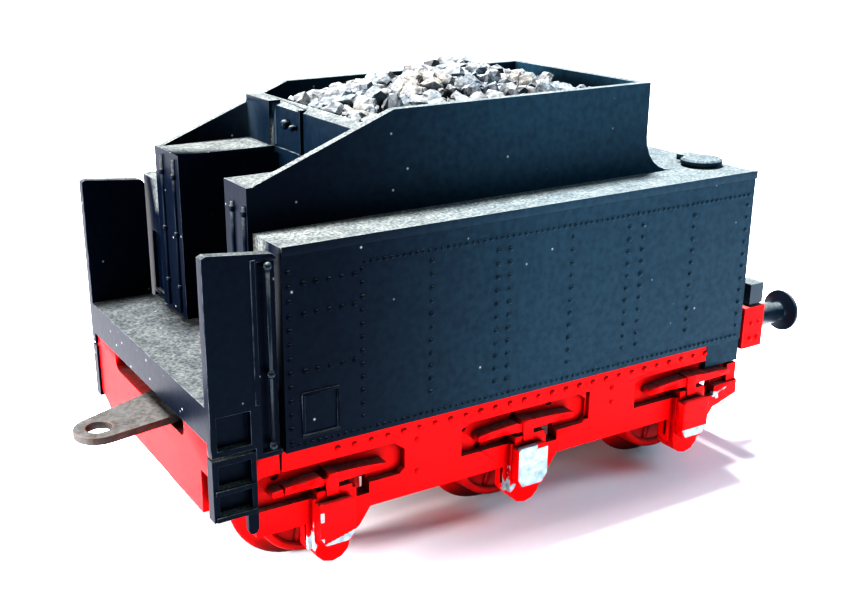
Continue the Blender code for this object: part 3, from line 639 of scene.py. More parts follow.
def metalMaterial(name, look):
    # steel that is bright, dull or rusty by its numbers, and the milky lamp glass
    mat = bpy.data.materials.new(name)
    mat.use_nodes = True
    nodes = mat.node_tree.nodes
    links = mat.node_tree.links
    nodes.clear()

    coords = nodes.new("ShaderNodeTexCoord")
    coords.label = "piece position"
    centre = nodes.new("ShaderNodeMapping")
    centre.label = "centre on the metal"
    patchNoise = nodes.new("ShaderNodeTexNoise")
    patchNoise.label = "tarnish patches"
    patchNoise.inputs["Scale"].default_value = look["patches"]
    patchNoise.inputs["Detail"].default_value = 6
    patchNoise.inputs["Roughness"].default_value = 0.65
    patchColour = nodes.new("ShaderNodeValToRGB")
    patchColour.label = "steel to tarnish"
    patchColour.color_ramp.elements[0].position = 0.35
    patchColour.color_ramp.elements[0].color = (*look["tarnish"], 1)
    patchColour.color_ramp.elements[1].position = 0.62
    patchColour.color_ramp.elements[1].color = (*look["steel"], 1)
    surface = nodes.new("ShaderNodeNewGeometry")
    surface.label = "which way it faces"
    facing = nodes.new("ShaderNodeSeparateXYZ")
    facing.label = "upward share"
    upward = nodes.new("ShaderNodeMapRange")
    upward.label = "level faces only"
    upward.inputs["From Min"].default_value = 0.5
    upward.inputs["From Max"].default_value = 0.95
    dustNoise = nodes.new("ShaderNodeTexNoise")
    dustNoise.label = "dust grains"
    dustNoise.inputs["Scale"].default_value = 2200
    dustNoise.inputs["Detail"].default_value = 5
    dustRange = nodes.new("ShaderNodeMapRange")
    dustRange.label = "dust thickness"
    dustRange.inputs["From Min"].default_value = 0.38
    dustRange.inputs["From Max"].default_value = 0.62
    dustRange.inputs["To Max"].default_value = look["dust"]
    dustMask = nodes.new("ShaderNodeMath")
    dustMask.label = "dust lies on top"
    dustMask.operation = "MULTIPLY"
    dusty = nodes.new("ShaderNodeMix")
    dusty.label = "steel under dust"
    dusty.data_type = "RGBA"
    dusty.inputs["B"].default_value = (*look["dustColour"], 1)
    ridgeMark = nodes.new("ShaderNodeAttribute")
    ridgeMark.label = "sharp edges"
    ridgeMark.attribute_name = "ridge"
    edgeRange = nodes.new("ShaderNodeMapRange")
    edgeRange.label = "rust on edges"
    edgeRange.inputs["To Max"].default_value = look["edgeRust"]
    rusty = nodes.new("ShaderNodeMix")
    rusty.label = "rusty edges"
    rusty.data_type = "RGBA"
    rusty.inputs["B"].default_value = (0.16, 0.07, 0.035, 1)
    roughRange = nodes.new("ShaderNodeMapRange")
    roughRange.label = "uneven gloss"
    roughRange.inputs["To Min"].default_value = look["roughness"] + 0.2
    roughRange.inputs["To Max"].default_value = look["roughness"]
    metalShare = nodes.new("ShaderNodeMapRange")
    metalShare.label = "metal where clean"
    metalShare.inputs["To Min"].default_value = look["metallic"]
    metalShare.inputs["To Max"].default_value = 0.0
    relief = nodes.new("ShaderNodeBump")
    relief.label = "pitted surface"
    relief.inputs["Strength"].default_value = look["pits"]
    relief.inputs["Distance"].default_value = 0.00012
    shader = nodes.new("ShaderNodeBsdfPrincipled")
    shader.label = "metal"
    output = nodes.new("ShaderNodeOutputMaterial")
    output.label = "surface"

    links.new(coords.outputs["Object"], centre.inputs["Vector"])
    links.new(centre.outputs["Vector"], patchNoise.inputs["Vector"])
    links.new(centre.outputs["Vector"], dustNoise.inputs["Vector"])
    links.new(patchNoise.outputs["Fac"], patchColour.inputs["Fac"])
    links.new(ridgeMark.outputs["Fac"], edgeRange.inputs["Value"])
    links.new(patchColour.outputs["Color"], rusty.inputs["A"])
    links.new(edgeRange.outputs["Result"], rusty.inputs["Factor"])
    links.new(surface.outputs["Normal"], facing.inputs["Vector"])
    links.new(facing.outputs["Z"], upward.inputs["Value"])
    links.new(dustNoise.outputs["Fac"], dustRange.inputs["Value"])
    links.new(upward.outputs["Result"], dustMask.inputs[0])
    links.new(dustRange.outputs["Result"], dustMask.inputs[1])
    links.new(rusty.outputs["Result"], dusty.inputs["A"])
    links.new(dustMask.outputs["Value"], dusty.inputs["Factor"])
    links.new(dusty.outputs["Result"], shader.inputs["Base Color"])
    links.new(patchNoise.outputs["Fac"], roughRange.inputs["Value"])
    links.new(roughRange.outputs["Result"], shader.inputs["Roughness"])
    links.new(dustMask.outputs["Value"], metalShare.inputs["Value"])
    links.new(metalShare.outputs["Result"], shader.inputs["Metallic"])
    links.new(dustNoise.outputs["Fac"], relief.inputs["Height"])
    links.new(relief.outputs["Normal"], shader.inputs["Normal"])
    links.new(shader.outputs["BSDF"], output.inputs["Surface"])

    groups = {
        "where": [coords, centre, surface],
        "steel colour": [patchNoise, patchColour, ridgeMark, edgeRange, rusty],
        "dust": [facing, upward, dustNoise, dustRange, dustMask, dusty],
        "surface relief": [roughRange, metalShare, relief, shader, output],
    }
    layOut(mat, groups)
    return mat


def coalMaterial(name, look):
    # moulded coal: dark lumps, grey dust on their tops, brown dust between them
    mat = bpy.data.materials.new(name)
    mat.use_nodes = True
    nodes = mat.node_tree.nodes
    links = mat.node_tree.links
    nodes.clear()

    coords = nodes.new("ShaderNodeTexCoord")
    coords.label = "piece position"
    centre = nodes.new("ShaderNodeMapping")
    centre.label = "centre on the heap"
    surface = nodes.new("ShaderNodeNewGeometry")
    surface.label = "which way it faces"
    toneNoise = nodes.new("ShaderNodeTexNoise")
    toneNoise.label = "lump to lump tone"
    toneNoise.inputs["Scale"].default_value = 420
    toneNoise.inputs["Detail"].default_value = 4
    toneColour = nodes.new("ShaderNodeValToRGB")
    toneColour.label = "coal tones"
    toneColour.color_ramp.elements[0].position = 0.35
    toneColour.color_ramp.elements[0].color = (*look["dark"], 1)
    toneColour.color_ramp.elements[1].position = 0.65
    toneColour.color_ramp.elements[1].color = (*look["light"], 1)
    facing = nodes.new("ShaderNodeSeparateXYZ")
    facing.label = "upward share"
    upward = nodes.new("ShaderNodeMapRange")
    upward.label = "tops of lumps"
    upward.inputs["From Min"].default_value = 0.1
    upward.inputs["From Max"].default_value = 0.95
    upward.inputs["To Max"].default_value = look["dust"]
    dustNoise = nodes.new("ShaderNodeTexNoise")
    dustNoise.label = "dust grains"
    dustNoise.inputs["Scale"].default_value = 1900
    dustNoise.inputs["Detail"].default_value = 5
    dustRange = nodes.new("ShaderNodeMapRange")
    dustRange.label = "dust thickness"
    dustRange.inputs["From Min"].default_value = 0.3
    dustRange.inputs["From Max"].default_value = 0.65
    dustMask = nodes.new("ShaderNodeMath")
    dustMask.label = "dust lies on top"
    dustMask.operation = "MULTIPLY"
    tintNoise = nodes.new("ShaderNodeTexNoise")
    tintNoise.label = "dust tint patches"
    tintNoise.inputs["Scale"].default_value = 260
    tintNoise.inputs["Detail"].default_value = 3
    tintColour = nodes.new("ShaderNodeValToRGB")
    tintColour.label = "grey to brown dust"
    tintColour.color_ramp.elements[0].position = 0.4
    tintColour.color_ramp.elements[0].color = (0.165, 0.197, 0.222, 1)
    tintColour.color_ramp.elements[1].position = 0.66
    tintColour.color_ramp.elements[1].color = (0.22, 0.19, 0.15, 1)
    dusty = nodes.new("ShaderNodeMix")
    dusty.label = "dusty coal"
    dusty.data_type = "RGBA"
    relief = nodes.new("ShaderNodeBump")
    relief.label = "broken faces"
    relief.inputs["Strength"].default_value = 0.7
    relief.inputs["Distance"].default_value = 0.0003
    shader = nodes.new("ShaderNodeBsdfPrincipled")
    shader.label = "coal"
    shader.inputs["Roughness"].default_value = look["roughness"]
    output = nodes.new("ShaderNodeOutputMaterial")
    output.label = "surface"

    links.new(coords.outputs["Object"], centre.inputs["Vector"])
    for pattern in (toneNoise, dustNoise, tintNoise):
        links.new(centre.outputs["Vector"], pattern.inputs["Vector"])
    links.new(toneNoise.outputs["Fac"], toneColour.inputs["Fac"])
    links.new(surface.outputs["Normal"], facing.inputs["Vector"])
    links.new(facing.outputs["Z"], upward.inputs["Value"])
    links.new(dustNoise.outputs["Fac"], dustRange.inputs["Value"])
    links.new(upward.outputs["Result"], dustMask.inputs[0])
    links.new(dustRange.outputs["Result"], dustMask.inputs[1])
    links.new(tintNoise.outputs["Fac"], tintColour.inputs["Fac"])
    links.new(toneColour.outputs["Color"], dusty.inputs["A"])
    links.new(tintColour.outputs["Color"], dusty.inputs["B"])
    links.new(dustMask.outputs["Value"], dusty.inputs["Factor"])
    links.new(dusty.outputs["Result"], shader.inputs["Base Color"])
    links.new(dustNoise.outputs["Fac"], relief.inputs["Height"])
    links.new(relief.outputs["Normal"], shader.inputs["Normal"])
    links.new(shader.outputs["BSDF"], output.inputs["Surface"])

    groups = {
        "where": [coords, centre, surface],
        "coal colour": [toneNoise, toneColour],
        "dust": [facing, upward, dustNoise, dustRange, dustMask, tintNoise, tintColour, dusty],
        "surface relief": [relief, shader, output],
    }
    layOut(mat, groups)
    return mat


# slate in these looks is the colour of the painted sheen towards the rear
blackLook = {
    "base": (0.0005, 0.001, 0.005), "hazeColour": (0.0012, 0.003, 0.008), "mottle": (0.0015, 0.0052, 0.0105),
    "haze": 0.5, "dust": 0.58, "wear": 0.5, "roughness": 0.42, "specular": 0.05, "slate": (0.012, 0.033, 0.05),
}
bodyBlack = plasticMaterial("bodyBlack", blackLook)
cabBlack = plasticMaterial("cabBlack", {**blackLook, "dust": 0.34})
trimBlack = plasticMaterial("trimBlack", {
    "base": (0.0015, 0.0022, 0.005), "hazeColour": (0.003, 0.005, 0.008), "mottle": (0.008, 0.011, 0.016),
    "haze": 0.6, "dust": 0.5, "wear": 0.5, "roughness": 0.32, "specular": 0.25,
    "slate": (0.004, 0.01, 0.018),
})
# paintedShade sets how dark the painted shade in corners and sheltered places gets
frameRed = paintMaterial("frameRed", {
    "dark": (0.62, 0.0008, 0.002), "light": (0.8, 0.0016, 0.004), "paintedShade": 0.96, "dust": 0.35,
    "edgeWear": 0.22, "roughness": 0.45, "specular": 0.05,
})
wheelRed = paintMaterial("wheelRed", {
    "dark": (0.36, 0.0006, 0.0015), "light": (0.62, 0.0012, 0.003), "paintedShade": 0.9, "dust": 0.3,
    "edgeWear": 0.25, "roughness": 0.4, "specular": 0.15,
})
rustySteel = metalMaterial("rustySteel", {
    "steel": (0.036, 0.035, 0.034), "tarnish": (0.02, 0.014, 0.011), "patches": 420, "dust": 0.7,
    "dustColour": (0.045, 0.043, 0.042), "edgeRust": 0.6, "roughness": 0.65, "metallic": 0.3, "pits": 0.8,
})
brightSteel = metalMaterial("brightSteel", {
    "steel": (0.62, 0.62, 0.6), "tarnish": (0.32, 0.3, 0.28), "patches": 700, "dust": 0.2,
    "dustColour": (0.3, 0.28, 0.25), "edgeRust": 0.15, "roughness": 0.28, "metallic": 1.0, "pits": 0.2,
})
lampGlass = metalMaterial("lampGlass", {
    "steel": (0.62, 0.66, 0.66), "tarnish": (0.42, 0.46, 0.47), "patches": 500, "dust": 0.25,
    "dustColour": (0.3, 0.3, 0.28), "edgeRust": 0.0, "roughness": 0.06, "metallic": 0.0, "pits": 0.05,
})
coalGrey = coalMaterial("coalGrey", {
    "dark": (0.012, 0.016, 0.022), "light": (0.05, 0.058, 0.07), "dust": 0.85, "roughness": 0.7,
})
print("materials made")


# geometry node trees for what repeats

def rivetTree():
    # domed rivets at an even pitch along each edge of the guide mesh
    tree = bpy.data.node_groups.new("rivetRow", "GeometryNodeTree")
    tree.interface.new_socket(name="Guide lines", in_out="INPUT", socket_type="NodeSocketGeometry")
    pitch = tree.interface.new_socket(name="Pitch", in_out="INPUT", socket_type="NodeSocketFloat")
    radius = tree.interface.new_socket(name="Head radius", in_out="INPUT", socket_type="NodeSocketFloat")
    height = tree.interface.new_socket(name="Head height", in_out="INPUT", socket_type="NodeSocketFloat")
    seed = tree.interface.new_socket(name="Seed", in_out="INPUT", socket_type="NodeSocketInt")
    finish = tree.interface.new_socket(name="Finish", in_out="INPUT", socket_type="NodeSocketMaterial")
    tree.interface.new_socket(name="Rivets", in_out="OUTPUT", socket_type="NodeSocketGeometry")
    nodes = tree.nodes
    links = tree.links
    given = nodes.new("NodeGroupInput")
    lines = nodes.new("GeometryNodeMeshToCurve")
    lines.label = "guide lines"
    spaced = nodes.new("GeometryNodeResampleCurve")
    spaced.label = "one point a rivet"
    spaced.mode = "LENGTH"
    ball = nodes.new("GeometryNodeMeshUVSphere")
    ball.label = "round head"
    ball.inputs["Segments"].default_value = 8
    ball.inputs["Rings"].default_value = 5
    squash = nodes.new("ShaderNodeMath")
    squash.label = "height over radius"
    squash.operation = "DIVIDE"
    headScale = nodes.new("ShaderNodeCombineXYZ")
    headScale.label = "flattened head"
    headScale.inputs["X"].default_value = 1
    headScale.inputs["Y"].default_value = 1
    head = nodes.new("GeometryNodeTransform")
    head.label = "rivet head"
    outward = nodes.new("GeometryNodeInputNamedAttribute")
    outward.label = "face direction"
    outward.data_type = "FLOAT_VECTOR"
    outward.inputs["Name"].default_value = "outward"
    turn = nodes.new("FunctionNodeAlignRotationToVector")
    turn.label = "head faces outwards"
    turn.axis = "Z"
    size = nodes.new("FunctionNodeRandomValue")
    size.label = "slightly uneven heads"
    size.data_type = "FLOAT"
    size.inputs[2].default_value = 0.85
    size.inputs[3].default_value = 1.12
    spots = nodes.new("GeometryNodeInstanceOnPoints")
    spots.label = "rivets"
    real = nodes.new("GeometryNodeRealizeInstances")
    smooth = nodes.new("GeometryNodeSetShadeSmooth")
    painted = nodes.new("GeometryNodeSetMaterial")
    result = nodes.new("NodeGroupOutput")
    links.new(given.outputs["Guide lines"], lines.inputs["Mesh"])
    links.new(lines.outputs["Curve"], spaced.inputs["Curve"])
    links.new(given.outputs["Pitch"], spaced.inputs["Length"])
    links.new(given.outputs["Head radius"], ball.inputs["Radius"])
    links.new(given.outputs["Head height"], squash.inputs[0])
    links.new(given.outputs["Head radius"], squash.inputs[1])
    links.new(squash.outputs["Value"], headScale.inputs["Z"])
    links.new(ball.outputs["Mesh"], head.inputs["Geometry"])
    links.new(headScale.outputs["Vector"], head.inputs["Scale"])
    links.new(outward.outputs["Attribute"], turn.inputs["Vector"])
    links.new(given.outputs["Seed"], size.inputs["Seed"])
    links.new(spaced.outputs["Curve"], spots.inputs["Points"])
    links.new(head.outputs["Geometry"], spots.inputs["Instance"])
    links.new(turn.outputs["Rotation"], spots.inputs["Rotation"])
    links.new(size.outputs[1], spots.inputs["Scale"])
    links.new(spots.outputs["Instances"], real.inputs["Geometry"])
    links.new(real.outputs["Geometry"], smooth.inputs["Geometry"])
    links.new(smooth.outputs["Geometry"], painted.inputs["Geometry"])
    links.new(given.outputs["Finish"], painted.inputs["Material"])
    links.new(painted.outputs["Geometry"], result.inputs["Rivets"])
    for i, node in enumerate(nodes):
        node.location = ((i % 6) * 210, -(i // 6) * 260)
    keys = {"pitch": pitch, "radius": radius, "height": height, "seed": seed, "finish": finish}
    return tree, {key: socket.identifier for key, socket in keys.items()}


rivetNodes, rivetKeys = rivetTree()


def rivetPiece(name, lines, look, finish):
    # lines: (start, end, outward), with points from at()
    shape = bmesh.new()
    facing = shape.verts.layers.float_vector.new("outward")
    for start, end, outward in lines:
        pair = [shape.verts.new(point) for point in (start, end)]
        for vert in pair:
            vert[facing] = outward
        shape.edges.new(pair)
    mesh = bpy.data.meshes.new(name)
    shape.to_mesh(mesh)
    shape.free()
    piece = bpy.data.objects.new(name, mesh)
    bpy.context.scene.collection.objects.link(piece)
    rivets = piece.modifiers.new("rivets", "NODES")
    rivets.node_group = rivetNodes
    rivets[rivetKeys["pitch"]] = look["pitch"] * mm
    rivets[rivetKeys["radius"]] = look["radius"] * mm
    rivets[rivetKeys["height"]] = look["height"] * mm
    rivets[rivetKeys["seed"]] = look["seed"]
    rivets[rivetKeys["finish"]] = finish
    bakeModifiers(piece)
    return piece


def coalTree():
    # broken lumps scattered over the heap, each bent by noise into its own shape
    tree = bpy.data.node_groups.new("coalLumps", "GeometryNodeTree")
    tree.interface.new_socket(name="Heap", in_out="INPUT", socket_type="NodeSocketGeometry")
    density = tree.interface.new_socket(name="Lumps per area", in_out="INPUT", socket_type="NodeSocketFloat")
    gap = tree.interface.new_socket(name="Closest lumps", in_out="INPUT", socket_type="NodeSocketFloat")
    small = tree.interface.new_socket(name="Smallest lump", in_out="INPUT", socket_type="NodeSocketFloat")
    large = tree.interface.new_socket(name="Largest lump", in_out="INPUT", socket_type="NodeSocketFloat")
    bend = tree.interface.new_socket(name="Broken shape", in_out="INPUT", socket_type="NodeSocketFloat")
    seed = tree.interface.new_socket(name="Seed", in_out="INPUT", socket_type="NodeSocketInt")
    finish = tree.interface.new_socket(name="Finish", in_out="INPUT", socket_type="NodeSocketMaterial")
    tree.interface.new_socket(name="Lumps", in_out="OUTPUT", socket_type="NodeSocketGeometry")
    nodes = tree.nodes
    links = tree.links
    given = nodes.new("NodeGroupInput")
    scatter = nodes.new("GeometryNodeDistributePointsOnFaces")
    scatter.label = "where lumps lie"
    scatter.distribute_method = "POISSON"
    lump = nodes.new("GeometryNodeMeshIcoSphere")
    lump.label = "one lump"
    lump.inputs["Radius"].default_value = 1
    lump.inputs["Subdivisions"].default_value = 2
    turn = nodes.new("FunctionNodeRandomValue")
    turn.label = "any way round"
    turn.data_type = "FLOAT_VECTOR"
    turn.inputs[1].default_value = (6.28, 6.28, 6.28)
    size = nodes.new("FunctionNodeRandomValue")
    size.label = "lump size"
    size.data_type = "FLOAT"
    stretch = nodes.new("FunctionNodeRandomValue")
    stretch.label = "long and flat lumps"
    stretch.data_type = "FLOAT_VECTOR"
    stretch.inputs[0].default_value = (0.7, 0.6, 0.5)
    stretch.inputs[1].default_value = (1.3, 1.1, 0.9)
    scale = nodes.new("ShaderNodeVectorMath")
    scale.label = "size by shape"
    scale.operation = "SCALE"
    spots = nodes.new("GeometryNodeInstanceOnPoints")
    spots.label = "lumps"
    real = nodes.new("GeometryNodeRealizeInstances")
    pointPlace = nodes.new("GeometryNodeInputPosition")
    broken = nodes.new("ShaderNodeTexNoise")
    broken.label = "broken faces"
    broken.inputs["Scale"].default_value = 1100
    broken.inputs["Detail"].default_value = 1
    middle = nodes.new("ShaderNodeVectorMath")
    middle.label = "about zero"
    middle.operation = "SUBTRACT"
    middle.inputs[1].default_value = (0.5, 0.5, 0.5)
    push = nodes.new("ShaderNodeVectorMath")
    push.label = "how far"
    push.operation = "SCALE"
    bent = nodes.new("GeometryNodeSetPosition")
    bent.label = "broken lumps"
    flat = nodes.new("GeometryNodeSetShadeSmooth")
    flat.label = "flat facets"
    flat.inputs["Shade Smooth"].default_value = False
    painted = nodes.new("GeometryNodeSetMaterial")
    result = nodes.new("NodeGroupOutput")
    links.new(given.outputs["Heap"], scatter.inputs["Mesh"])
    links.new(given.outputs["Lumps per area"], scatter.inputs["Density Max"])
    links.new(given.outputs["Closest lumps"], scatter.inputs["Distance Min"])
    links.new(given.outputs["Seed"], scatter.inputs["Seed"])
    links.new(given.outputs["Smallest lump"], size.inputs[2])
    links.new(given.outputs["Largest lump"], size.inputs[3])
    links.new(given.outputs["Seed"], size.inputs["Seed"])
    links.new(stretch.outputs[0], scale.inputs[0])
    links.new(size.outputs[1], scale.inputs["Scale"])
    links.new(scatter.outputs["Points"], spots.inputs["Points"])
    links.new(lump.outputs["Mesh"], spots.inputs["Instance"])
    links.new(turn.outputs[0], spots.inputs["Rotation"])
    links.new(scale.outputs["Vector"], spots.inputs["Scale"])
    links.new(spots.outputs["Instances"], real.inputs["Geometry"])
    links.new(pointPlace.outputs["Position"], broken.inputs["Vector"])
    links.new(broken.outputs["Color"], middle.inputs[0])
    links.new(middle.outputs["Vector"], push.inputs[0])
    links.new(given.outputs["Broken shape"], push.inputs["Scale"])
    links.new(real.outputs["Geometry"], bent.inputs["Geometry"])
    links.new(push.outputs["Vector"], bent.inputs["Offset"])
    links.new(bent.outputs["Geometry"], flat.inputs["Geometry"])
    links.new(flat.outputs["Geometry"], painted.inputs["Geometry"])
    links.new(given.outputs["Finish"], painted.inputs["Material"])
    links.new(painted.outputs["Geometry"], result.inputs["Lumps"])
    for i, node in enumerate(nodes):
        node.location = ((i % 6) * 210, -(i // 6) * 260)
    keys = {"density": density, "gap": gap, "small": small, "large": large, "bend": bend,
            "seed": seed, "finish": finish}
    return tree, {key: socket.identifier for key, socket in keys.items()}


def spokeTree():
    # tapered spokes round a hub, in the wheel's own plane
    tree = bpy.data.node_groups.new("wheelSpokes", "GeometryNodeTree")
    tree.interface.new_socket(name="Centre", in_out="INPUT", socket_type="NodeSocketGeometry")
    count = tree.interface.new_socket(name="Spokes", in_out="INPUT", socket_type="NodeSocketInt")
    inner = tree.interface.new_socket(name="Hub radius", in_out="INPUT", socket_type="NodeSocketFloat")
    outer = tree.interface.new_socket(name="Rim radius", in_out="INPUT", socket_type="NodeSocketFloat")
    wide = tree.interface.new_socket(name="Width at hub", in_out="INPUT", socket_type="NodeSocketFloat")
    slim = tree.interface.new_socket(name="Width at rim", in_out="INPUT", socket_type="NodeSocketFloat")
    finish = tree.interface.new_socket(name="Finish", in_out="INPUT", socket_type="NodeSocketMaterial")
    tree.interface.new_socket(name="Spokes", in_out="OUTPUT", socket_type="NodeSocketGeometry")
    nodes = tree.nodes
    links = tree.links
    given = nodes.new("NodeGroupInput")
    length = nodes.new("ShaderNodeMath")
    length.label = "spoke length"
    length.operation = "SUBTRACT"
    bar = nodes.new("GeometryNodeMeshCone")
    bar.label = "one spoke"
    bar.inputs["Vertices"].default_value = 10
    bar.inputs["Side Segments"].default_value = 3
    reach = nodes.new("ShaderNodeCombineXYZ")
    reach.label = "starts at the hub"
    bar2 = nodes.new("GeometryNodeTransform")
    bar2.label = "moved out to the hub"
    bar2.inputs["Scale"].default_value = (1.0, 0.72, 1.0)
    ring = nodes.new("GeometryNodeMeshCircle")
    ring.label = "spoke directions"
    ring.inputs["Radius"].default_value = 0.0001
    away = nodes.new("GeometryNodeInputPosition")
    turn = nodes.new("FunctionNodeAlignRotationToVector")
    turn.label = "spoke points outwards"
    turn.axis = "Z"
    turn.pivot_axis = "AUTO"
    straight = nodes.new("FunctionNodeAlignRotationToVector")
    straight.label = "flat side along the axle"
    straight.axis = "Y"
    straight.pivot_axis = "Z"
    straight.inputs["Vector"].default_value = (0, 0, 1)
    spots = nodes.new("GeometryNodeInstanceOnPoints")
    real = nodes.new("GeometryNodeRealizeInstances")
    smooth = nodes.new("GeometryNodeSetShadeSmooth")
    painted = nodes.new("GeometryNodeSetMaterial")
    both = nodes.new("GeometryNodeJoinGeometry")
    result = nodes.new("NodeGroupOutput")
    links.new(given.outputs["Rim radius"], length.inputs[0])
    links.new(given.outputs["Hub radius"], length.inputs[1])
    links.new(length.outputs["Value"], bar.inputs["Depth"])
    links.new(given.outputs["Width at rim"], bar.inputs["Radius Top"])
    links.new(given.outputs["Width at hub"], bar.inputs["Radius Bottom"])
    links.new(given.outputs["Hub radius"], reach.inputs["Z"])
    links.new(bar.outputs["Mesh"], bar2.inputs["Geometry"])
    links.new(reach.outputs["Vector"], bar2.inputs["Translation"])
    links.new(given.outputs["Spokes"], ring.inputs["Vertices"])
    links.new(away.outputs["Position"], turn.inputs["Vector"])
    links.new(turn.outputs["Rotation"], straight.inputs["Rotation"])
    links.new(ring.outputs["Mesh"], spots.inputs["Points"])
    links.new(bar2.outputs["Geometry"], spots.inputs["Instance"])
    links.new(straight.outputs["Rotation"], spots.inputs["Rotation"])
    links.new(spots.outputs["Instances"], both.inputs["Geometry"])
    links.new(given.outputs["Centre"], both.inputs["Geometry"])
    links.new(both.outputs["Geometry"], real.inputs["Geometry"])
    links.new(real.outputs["Geometry"], smooth.inputs["Geometry"])
    links.new(smooth.outputs["Geometry"], painted.inputs["Geometry"])
    links.new(given.outputs["Finish"], painted.inputs["Material"])
    links.new(painted.outputs["Geometry"], result.inputs["Spokes"])
    for i, node in enumerate(nodes):
        node.location = ((i % 6) * 210, -(i // 6) * 260)
    keys = {"count": count, "inner": inner, "outer": outer, "wide": wide, "slim": slim, "finish": finish}
    return tree, {key: socket.identifier for key, socket in keys.items()}


coalNodes, coalKeys = coalTree()
spokeNodes, spokeKeys = spokeTree()
print("node trees made")


# tank body

body = {
    "round": 0.14,
    "grooveWide": 0.75, "grooveDeep": 0.55,
    "rodRadius": 0.2,
}


def tankCuts(shape):
    # grooves beside the door rods on the lockers' front faces
    front = bunker["front"]
    grooves = [(-10.45, 6.4, 20.9), (-8.0, 6.4, 20.9), (9.4, 6.4, 22.0), (6.2, 6.4, 22.0)]
    for y, low, high in grooves:
        half = body["grooveWide"] / 2
        addBox(shape, (front - 1, front + body["grooveDeep"]), (y - half, y + half), (low, high))
    addBox(shape, (tank["x"][0] - 1, tank["x"][0] + 0.4), (12.0, 14.9), (6.4, 12.9))  # recess in the far tank front


tankBody = cadCopy("tank_shell", "tankBody", 0.12)
carve(tankBody, tankCuts)
soften(tankBody, body["round"], roomy=True)
place(tankBody, "root", bodyBlack, "black_plastic", "tank_shell")

hatch = {"x": (8.55, 12.25), "z": (1.15, 5.4), "wide": 0.3, "proud": 0.14}


def tankTrimShape(shape):
    for side in sides.values():
        face = side * (tank["half"] - 0.1)
        proud = side * (tank["half"] + hatch["proud"])
        x, z, w = hatch["x"], hatch["z"], hatch["wide"]
        addBox(shape, (x[0], x[1]), (face, proud), (z[0], z[0] + w))
        addBox(shape, (x[0], x[1]), (face, proud), (z[1] - w, z[1]))
        addBox(shape, (x[0], x[0] + w), (face, proud), (z[0] + w, z[1] - w))
        addBox(shape, (x[1] - w, x[1]), (face, proud), (z[0] + w, z[1] - w))


tankTrim = solid("tankTrim", tankTrimShape)
soften(tankTrim, 0.06)
place(tankTrim, "root", bodyBlack, "black_plastic")

rod = {
    "near": [(-10.45, 6.4, 20.9), (-8.0, 6.4, 20.9)],
    "far": [(9.4, 6.4, 22.0), (6.2, 6.4, 22.0)],
    "clips": (9.0, 14.5, 20.3),
}


def doorRodShape(shape):
    x = bunker["front"] - 0.05
    for y, low, high in rod["near"] + rod["far"]:
        addRod(shape, at(x, y - 0.2, low), at(x, y - 0.2, high), body["rodRadius"], 10)
        for z in rod["clips"]:
            profile = [(-0.34, 0), (-0.3, 0.2), (-0.12, 0.36), (0.12, 0.36), (0.3, 0.2), (0.34, 0)]
            addTurned(shape, at(x, y - 0.2, z), (0, 0, 1), profile, 12)


doorRods = solid("doorRods", doorRodShape)
doorRods.data.shade_smooth()
place(doorRods, "root", bodyBlack, "black_plastic")

gate = {"knob": (2.3, 25.0, 0.5), "small": (0.6, 24.9, 0.32)}


def gateKnobShape(shape):
    for y, z, radius in gate.values():
        profile = [(0.2, 0), (0.2, radius * 0.7), (-0.3, radius * 0.7), (-0.32, radius),
                   (-0.6, radius * 0.92), (-0.8, radius * 0.55), (-0.86, 0)]
        addTurned(shape, at(bunker["gate"], y, z), (1, 0, 0), profile, 16)


gateKnobs = solid("gateKnobs", gateKnobShape)
gateKnobs.data.shade_smooth()
place(gateKnobs, "root", bodyBlack, "black_plastic")

fineRivets = {"pitch": 0.66, "radius": 0.2, "height": 0.15, "seed": 3}
plainRivets = {"pitch": 1.22, "radius": 0.26, "height": 0.2, "seed": 5}


def tankLines(fine):
    lines = []
    x0, x1 = tank["x"]
    for side in sides.values():
        y = side * tank["half"]
        out = (0, side, 0)
        if fine:
            rows = [(15.0, 16.2, 61.3, 16.2), (7.6, 0.55, 61.3, 0.55)]
        else:
            rows = [(7.6, 0.9, 7.6, 16.4), (14.7, 1.8, 14.7, 15.6), (21.85, 2.6, 21.85, 15.2),
                    (29.1, 2.0, 29.1, 15.0), (30.5, 2.0, 30.5, 15.0), (37.9, 2.2, 37.9, 15.0),
                    (45.0, 2.3, 45.0, 15.0), (46.8, 2.3, 46.8, 15.0), (53.7, 2.5, 53.7, 15.0),
                    (61.25, 1.7, 61.25, 15.1), (9.0, 15.25, 13.9, 15.25), (9.0, 12.55, 13.9, 12.55),
                    (9.0, 7.35, 13.9, 7.35)]
        for a, b, c, d in rows:
            lines.append((at(a, y, b), at(c, y, d), out))
    rear = (1, 0, 0)
    if fine:
        lines.append((at(x1, -15.7, 16.2), at(x1, 15.7, 16.2), rear))
        lines.append((at(x1, -15.7, 0.55), at(x1, 15.7, 0.55), rear))
    else:
        for y in (-15.7, -7.9, 0.0, 7.9, 15.7):
            lines.append((at(x1, y, 1.8), at(x1, y, 15.2), rear))
    return lines


ballastBar = cadCopy("ballast_weight", "ballastBar")
soften(ballastBar, 0.2)
place(ballastBar, "root", rustySteel, "dull_steel", "ballast_weight")

tankRivetsFine = rivetPiece("tankRivetsFine", tankLines(True), fineRivets, bodyBlack)
place(tankRivetsFine, "root", bodyBlack, "black_plastic")
tankRivets = rivetPiece("tankRivets", tankLines(False), plainRivets, bodyBlack)
place(tankRivets, "root", bodyBlack, "black_plastic")
print("tank body made")


# footplate, steps, rails and lids

cabFloor = cadCopy("footplate", "cabFloor")
soften(cabFloor, 0.13)
place(cabFloor, "root", cabBlack, "black_plastic", "footplate")

